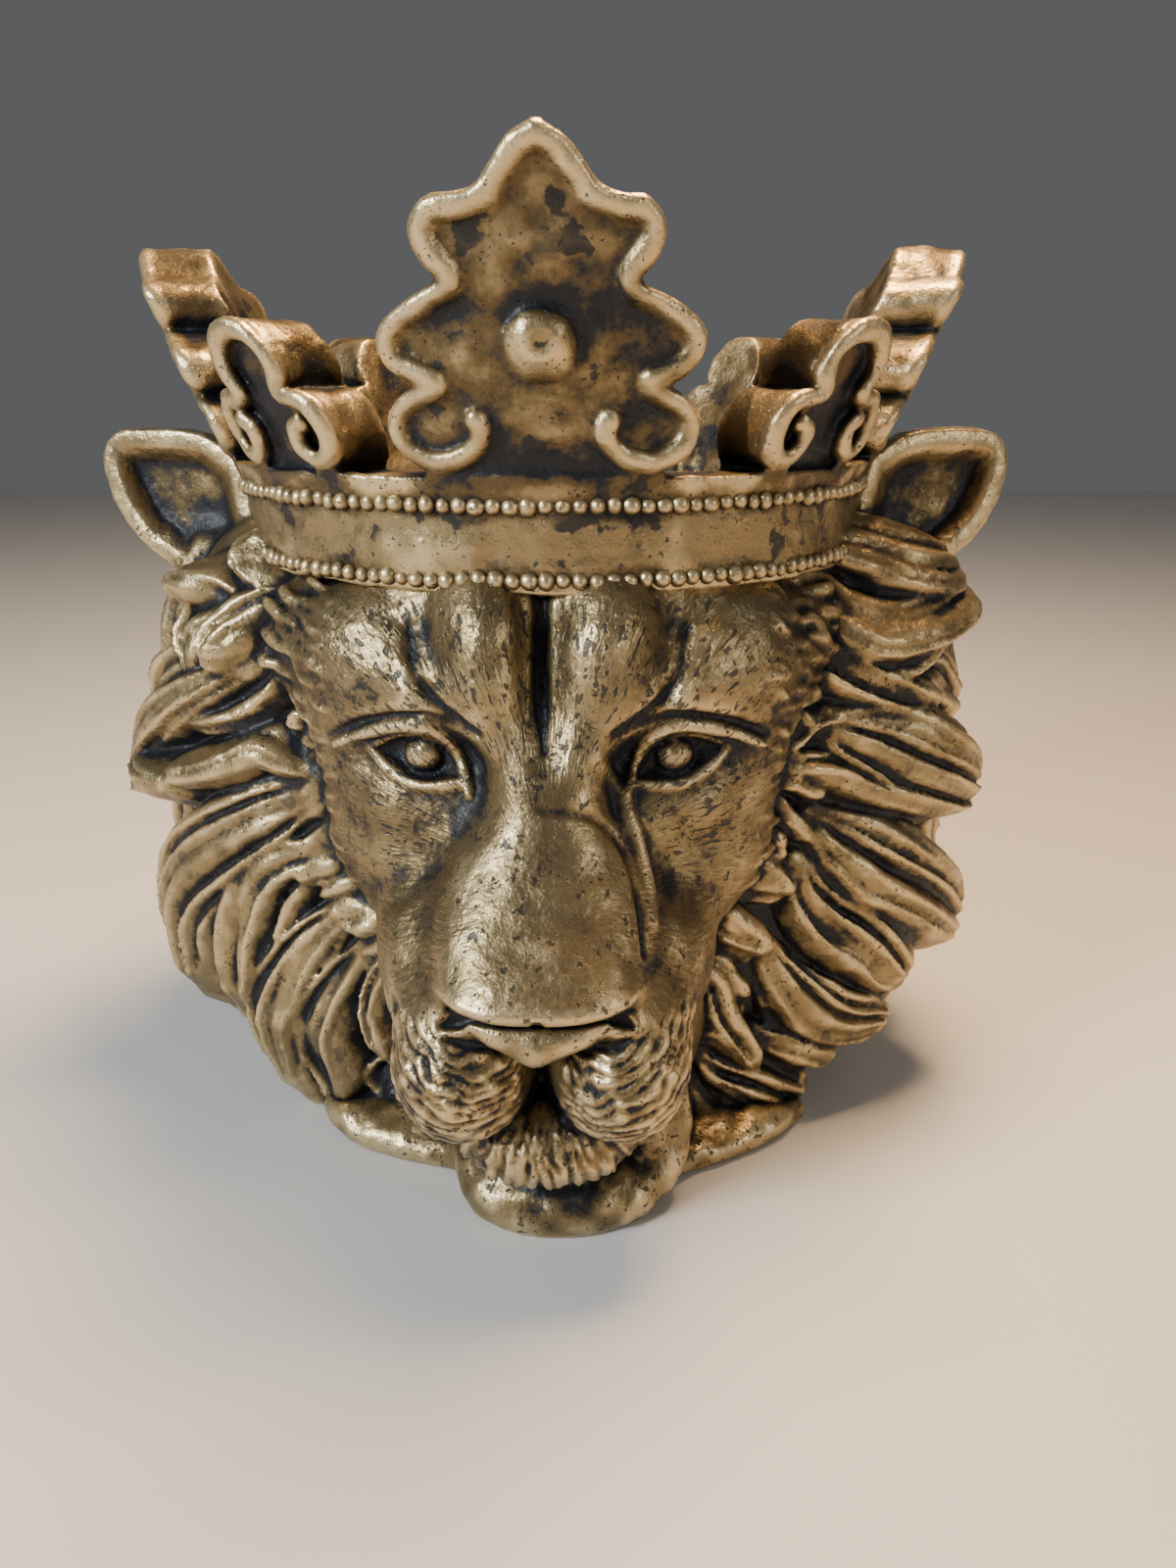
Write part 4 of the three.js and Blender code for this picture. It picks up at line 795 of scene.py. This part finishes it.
class CrownBand:
    low, high = (-160, -160, 219), (160, 160, DIPS)

    def distance(self, x, y, z):
        away = np.hypot(x, y)
        out = away - crown_radius(z)
        wall = np.maximum(np.maximum(out, -out - CROWN_WALL), np.maximum(CROWN_BOTTOM - z, z - DIPS))
        beside = np.abs(away - NECK_RADIUS) - SLEEVE_REACH
        sleeve = np.maximum(beside, np.abs(z - SLEEVE_MIDDLE) - SLEEVE_HALF)
        return np.minimum(wall, sleeve).astype(np.float32)


crown = Clay((-182, -182, 214), (182, 182, 382), CROWN_CELL)
crown.add(CrownBand(), 3)
for around, height in TALL_POINTS:
    crown.add(CrownPoint(around, TALL_WIDTH, height, TALL_ROPE, lowest=20, recess=1, boss=True), 3)
for around in SMALL_POINTS:
    point = CrownPoint(around, SMALL_WIDTH, SMALL_HEIGHT, SMALL_ROPE, lowest=10, recess=4, boss=False)
    crown.add(point, 3)


def rough_marks(points):
    return 1.7 * hand_marks(points)


lion_crown = take_skin(crown, "lion_crown", MOST_FACES, rough_marks)


def dull_fields(points):
    """The sunk fields within the ropes, the band beside the beads, and patches on the slabs' sides."""
    x, y, z = points.T
    out = np.hypot(x, y) - crown_radius(z)
    front = smooth_step(out, -7, -5) * (1 - smooth_step(out, 0.2, 2))
    by_beads = sum(np.exp(-((z - row) / 3.6) ** 2) for row in BEAD_ROWS)
    turn = np.degrees(np.arctan2(x, -y)) % 360
    small = sum(1 - smooth_step(np.abs(turn - around), 12, 15) for around in SMALL_POINTS)
    field = (0.7 + 1.1 * small) * smooth_step(z, BEAD_ROWS[1] + 2, DIPS)
    band = smooth_step(z, BEAD_ROWS[0] + 4, BEAD_ROWS[0] + 8)
    band = band * (1 - smooth_step(z, BEAD_ROWS[1] - 8, BEAD_ROWS[1] - 4))
    patches = smooth_step(ripple(points, 20, 12), 0.0, 0.25) * smooth_step(z, DIPS, DIPS + 8)
    ledge = 3 * np.exp(-(((z - DIPS) / 3.5) ** 2)) * (1 - smooth_step(out, -1, 1))
    on_sides = 3.6 * patches * (1 - smooth_step(out, -6, -4))
    return front * (field + 1.5 * by_beads - 1.2 * band) + on_sides + ledge


store_depth(lion_crown, crown, (crown.value < 0).astype(np.float32), no_fur, dull_fields)

# The beads: two rows of small balls round the crown's band, cast with it. They were set by hand in
# the model, so no two are quite alike in size or place.
BEAD_RADIUS = 3.3
BEAD_PITCH = 5.7
bead_points, bead_faces, bead_creases = [], [], []
rng = np.random.default_rng(7)
bm = bmesh.new()
bmesh.ops.create_uvsphere(bm, u_segments=12, v_segments=8, radius=1)
ball_points = np.array([v.co[:] for v in bm.verts])
ball_faces = [[v.index for v in f.verts] for f in bm.faces]
bm.free()
for height in BEAD_ROWS:
    girth = float(crown_radius(height))
    count = round(2 * math.pi * girth / BEAD_PITCH)
    for i in range(count):
        around = 2 * math.pi * i / count
        size = BEAD_RADIUS * rng.uniform(0.86, 1.08)
        away = girth + rng.uniform(-0.6, 0.3)
        up = height + rng.uniform(-0.4, 0.4)
        centre = np.array([away * math.sin(around), -away * math.cos(around), up])
        bead_faces += [[len(bead_points) + v for v in f] for f in ball_faces]
        bead_points += list(ball_points * size * rng.uniform(0.9, 1.08, 3) + centre)
        bead_creases += list(0.6 - 0.28 * ball_points @ [math.sin(around), -math.cos(around), 0.35])
bead_mesh = bpy.data.meshes.new("crown_beads")
bead_mesh.from_pydata(bead_points, [], bead_faces)
crown_beads = bpy.data.objects.new("crown_beads", bead_mesh)
bpy.context.scene.collection.objects.link(crown_beads)
for name, values in (("crease", bead_creases), ("shelter", 0.5), ("dull", 0)):
    values = np.broadcast_to(np.array(values, np.float32), len(bead_points))
    stored = bead_mesh.attributes.new(name, "FLOAT", "POINT")
    stored.data.foreach_set("value", np.ascontiguousarray(values))


# The finish: black paint all over, with antique gold brushed by hand over what stands out, so that
# the deep places and the inside of the pot stay black.
class Wire:
    """What a socket carries. Sums on it add Math nodes."""

    tree = None

    def __init__(self, socket):
        self.socket = socket

    @classmethod
    def node(cls, kind, settings, sockets, out=0):
        made = cls.tree.nodes.new(kind)
        for name, value in settings.items():
            setattr(made, name, value)
        for key, value in sockets.items():
            if isinstance(value, Wire):
                cls.tree.links.new(value.socket, made.inputs[key])
            else:
                made.inputs[key].default_value = value
        return Wire(made.outputs[out]) if made.outputs else None

    def math(self, operation, *values):
        sockets = dict(enumerate((self, *values)))
        return Wire.node("ShaderNodeMath", {"operation": operation}, sockets)

    def __add__(self, other):
        return self.math("ADD", other)

    def __sub__(self, other):
        return self.math("SUBTRACT", other)

    def __mul__(self, other):
        return self.math("MULTIPLY", other)

    def __rsub__(self, other):
        return Wire.node("ShaderNodeMath", {"operation": "SUBTRACT"}, {0: other, 1: self})

    __radd__ = __add__
    __rmul__ = __mul__

    def step(self, low, high):
        """Rises smoothly from 0 at low to 1 at high."""
        return Wire.node("ShaderNodeMapRange", {"interpolation_type": "SMOOTHSTEP"},
                         {"Value": self, "From Min": low, "From Max": high})

    def mix(self, first, second):
        """The first colour where this is 0, the second where it is 1."""
        return Wire.node("ShaderNodeMix", {"data_type": "RGBA"}, {0: self, 6: first, 7: second}, 2)


def colour(red, green, blue):
    return (red, green, blue, 1)


BLACK_PAINT = colour(0.006, 0.007, 0.010)
# Painted shade: the dark bronze that the gold turns to in the recesses
PAINTED_SHADE_BRONZE = colour(0.058, 0.038, 0.018)
ANTIQUE_GOLD = colour(0.255, 0.19, 0.096)
# Pale gold of the raised edges: partly rubbed gilding, partly painted highlight
RUBBED_AND_HIGHLIGHT_GOLD = colour(0.64, 0.50, 0.28)


def antique_gold(name, scraped, on_face=False):
    material = bpy.data.materials.new(name)
    material.use_nodes = True
    tree = Wire.tree = material.node_tree
    tree.nodes.clear()
    place = Wire.node("ShaderNodeTexCoord", {}, {}, 3)
    crease = Wire.node("ShaderNodeAttribute", {"attribute_name": "crease"}, {}, 2)
    shelter = Wire.node("ShaderNodeAttribute", {"attribute_name": "shelter"}, {}, 2)
    dull = Wire.node("ShaderNodeAttribute", {"attribute_name": "dull"}, {}, 2)

    def cloud(scale, detail=4, vector=place):
        return Wire.node("ShaderNodeTexNoise", {}, {"Vector": vector, "Scale": scale, "Detail": detail})

    brushing = cloud(95) - 0.5
    mottle = cloud(420, 3) - 0.5
    sheltered = (shelter - 0.56) * 0.35 if on_face else (shelter - 0.53) * 2.4
    depth = (crease - 0.5) * 3.6 + sheltered + brushing * 0.6 + mottle * 0.5 + dull * 0.14
    paint = depth.step(0.0, 0.34)
    # Raised edges turn pale gold: partly wear of the gilding, partly painted highlight
    rubbed_and_highlit = ((0.48 - crease) * 5 + brushing * 0.8).step(0.0, 0.7)
    # Painted shade: the gold darkens towards bronze in recesses and where dull is high, in random
    # patches
    shade = (depth + 0.3 + dull * 0.3 + (cloud(45) - 0.5) * 0.8).step(0.0, 0.6)
    flecks = (cloud(700, 2) + brushing * 0.4).step(0.66, 0.74)
    if on_face:
        x, y, z = (Wire.node("ShaderNodeSeparateXYZ", {}, {"Vector": place}, axis) for axis in range(3))
        up = z - 0.150
        angle = Wire.node("ShaderNodeMath", {"operation": "ARCTAN2"}, {0: x, 1: up})
        away = (x * x + up * up).math("SQRT")
        fur = Wire.node("ShaderNodeCombineXYZ", {}, {"X": angle * 38, "Y": away * 160, "Z": 0.0})
        strokes = cloud(1.0, 1, fur) * (y + 0.168).step(0, 0.01) * away.step(0.02, 0.045)
        flecks = flecks.math("MAXIMUM", (cloud(320, 3) + brushing * 0.3).step(0.63, 0.67))
        face = (-0.062 - y).step(0, 0.02) * (0.086 - x.math("ABSOLUTE")).step(0, 0.02)
        face = face * (z - 0.125).step(0, 0.03) * (0.24 - z).step(-0.006, 0.004)
        flecks = flecks.math("MAXIMUM", strokes.step(0.58, 0.66) * face)
    bare = cloud(80, 8).step(0.585, 0.62) * (crease - 0.44).step(0, 0.05) * scraped
    paint = paint.math("MAXIMUM", flecks * 0.85).math("MAXIMUM", bare)
    gold = (rubbed_and_highlit * 0.78).mix(ANTIQUE_GOLD, RUBBED_AND_HIGHLIGHT_GOLD)
    gold = (shade * 0.75).mix(gold, PAINTED_SHADE_BRONZE)
    base = paint.mix(gold, BLACK_PAINT)
    grain = cloud(260, 5)
    height = grain * 0.5 + cloud(110, 3) * 0.9 + cloud(900, 2) * 0.15 - flecks * 0.5
    if on_face:
        height = height + strokes * 0.65
    normal = Wire.node("ShaderNodeBump", {}, {"Strength": 0.7, "Distance": 0.0013, "Height": height})
    shader = Wire.node("ShaderNodeBsdfPrincipled", {}, {
        "Base Color": base, "Metallic": 0.85 - paint * 0.8,
        "Roughness": 0.37 + mottle * 0.35 + shade * 0.1, "Specular IOR Level": 0.3, "Normal": normal})
    Wire.node("ShaderNodeOutputMaterial", {}, {"Surface": shader})
    return material


def finish_piece(piece, material):
    mesh = piece.data
    points = np.empty(3 * len(mesh.vertices), np.float32)
    mesh.vertices.foreach_get("co", points)
    mesh.vertices.foreach_set("co", points * (unit / 1000))
    mesh.polygons.foreach_set("use_smooth", [True] * len(mesh.polygons))
    mesh.materials.clear()
    mesh.materials.append(material)
    mesh.update()
    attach(piece, "root")


finish_piece(lion_head, antique_gold("head_gold", 0, True))
finish_piece(lion_mane, antique_gold("mane_gold", 0.55))
finish_piece(lion_crown, antique_gold("crown_gold", 0.9))
finish_piece(crown_beads, antique_gold("bead_gold", 0.5))
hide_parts(NODE)

# The floor, the lights and the camera, which stands where the photograph seems to be taken from.
floor_mesh = bpy.data.meshes.new("floor")
floor_mesh.from_pydata([(-4, -3, 0), (4, -3, 0), (4, 3, 0), (-4, 3, 0)], [], [(0, 1, 2, 3)])
floor = bpy.data.objects.new("floor", floor_mesh)
bpy.context.scene.collection.objects.link(floor)
floor_paint = bpy.data.materials.new("floor_paint")
floor_paint.use_nodes = True
floor_sockets = floor_paint.node_tree.nodes["Principled BSDF"].inputs
floor_sockets["Base Color"].default_value = colour(0.62, 0.61, 0.60)
floor_sockets["Roughness"].default_value = 0.6
floor_mesh.materials.append(floor_paint)


def add_light(name, place, aim, size, power, tint):
    light = bpy.data.lights.new(name, "AREA")
    light.size, light.energy, light.color = size, power, tint
    lamp = bpy.data.objects.new(name, light)
    lamp.location = place
    lamp.rotation_euler = (Vector(aim) - Vector(place)).to_track_quat("-Z", "Y").to_euler()
    bpy.context.scene.collection.objects.link(lamp)


MIDDLE = (0, 0, 0.2)
add_light("window", (-1.2, -1.0, 0.9), MIDDLE, 0.5, 38, (0.90, 0.96, 1.0))
add_light("ceiling", (0.2, 0.1, 1.3), MIDDLE, 0.45, 38, (1.0, 0.66, 0.35))
add_light("fill", (1.2, -0.9, 0.6), MIDDLE, 0.6, 5, (1.0, 0.95, 0.88))
world = bpy.data.worlds.new("studio")
world.use_nodes = True
world.node_tree.nodes["Background"].inputs["Color"].default_value = colour(0.80, 0.81, 0.83)
world.node_tree.nodes["Background"].inputs["Strength"].default_value = 0.14
bpy.context.scene.world = world

CAMERA_PLACE = (0.014, -0.521, 0.311)
CAMERA_DIP = 19  # degrees below level
CAMERA_LENS = 27.05  # on 36 mm across the frame's long side
camera_data = bpy.data.cameras.new("camera")
camera_data.lens = CAMERA_LENS
camera_data.sensor_width = 36
camera_data.clip_start = 0.01
camera = bpy.data.objects.new("camera", camera_data)
camera.location = CAMERA_PLACE
camera.rotation_euler = (math.radians(90 - CAMERA_DIP), 0, 0)
bpy.context.scene.collection.objects.link(camera)
bpy.context.scene.camera = camera
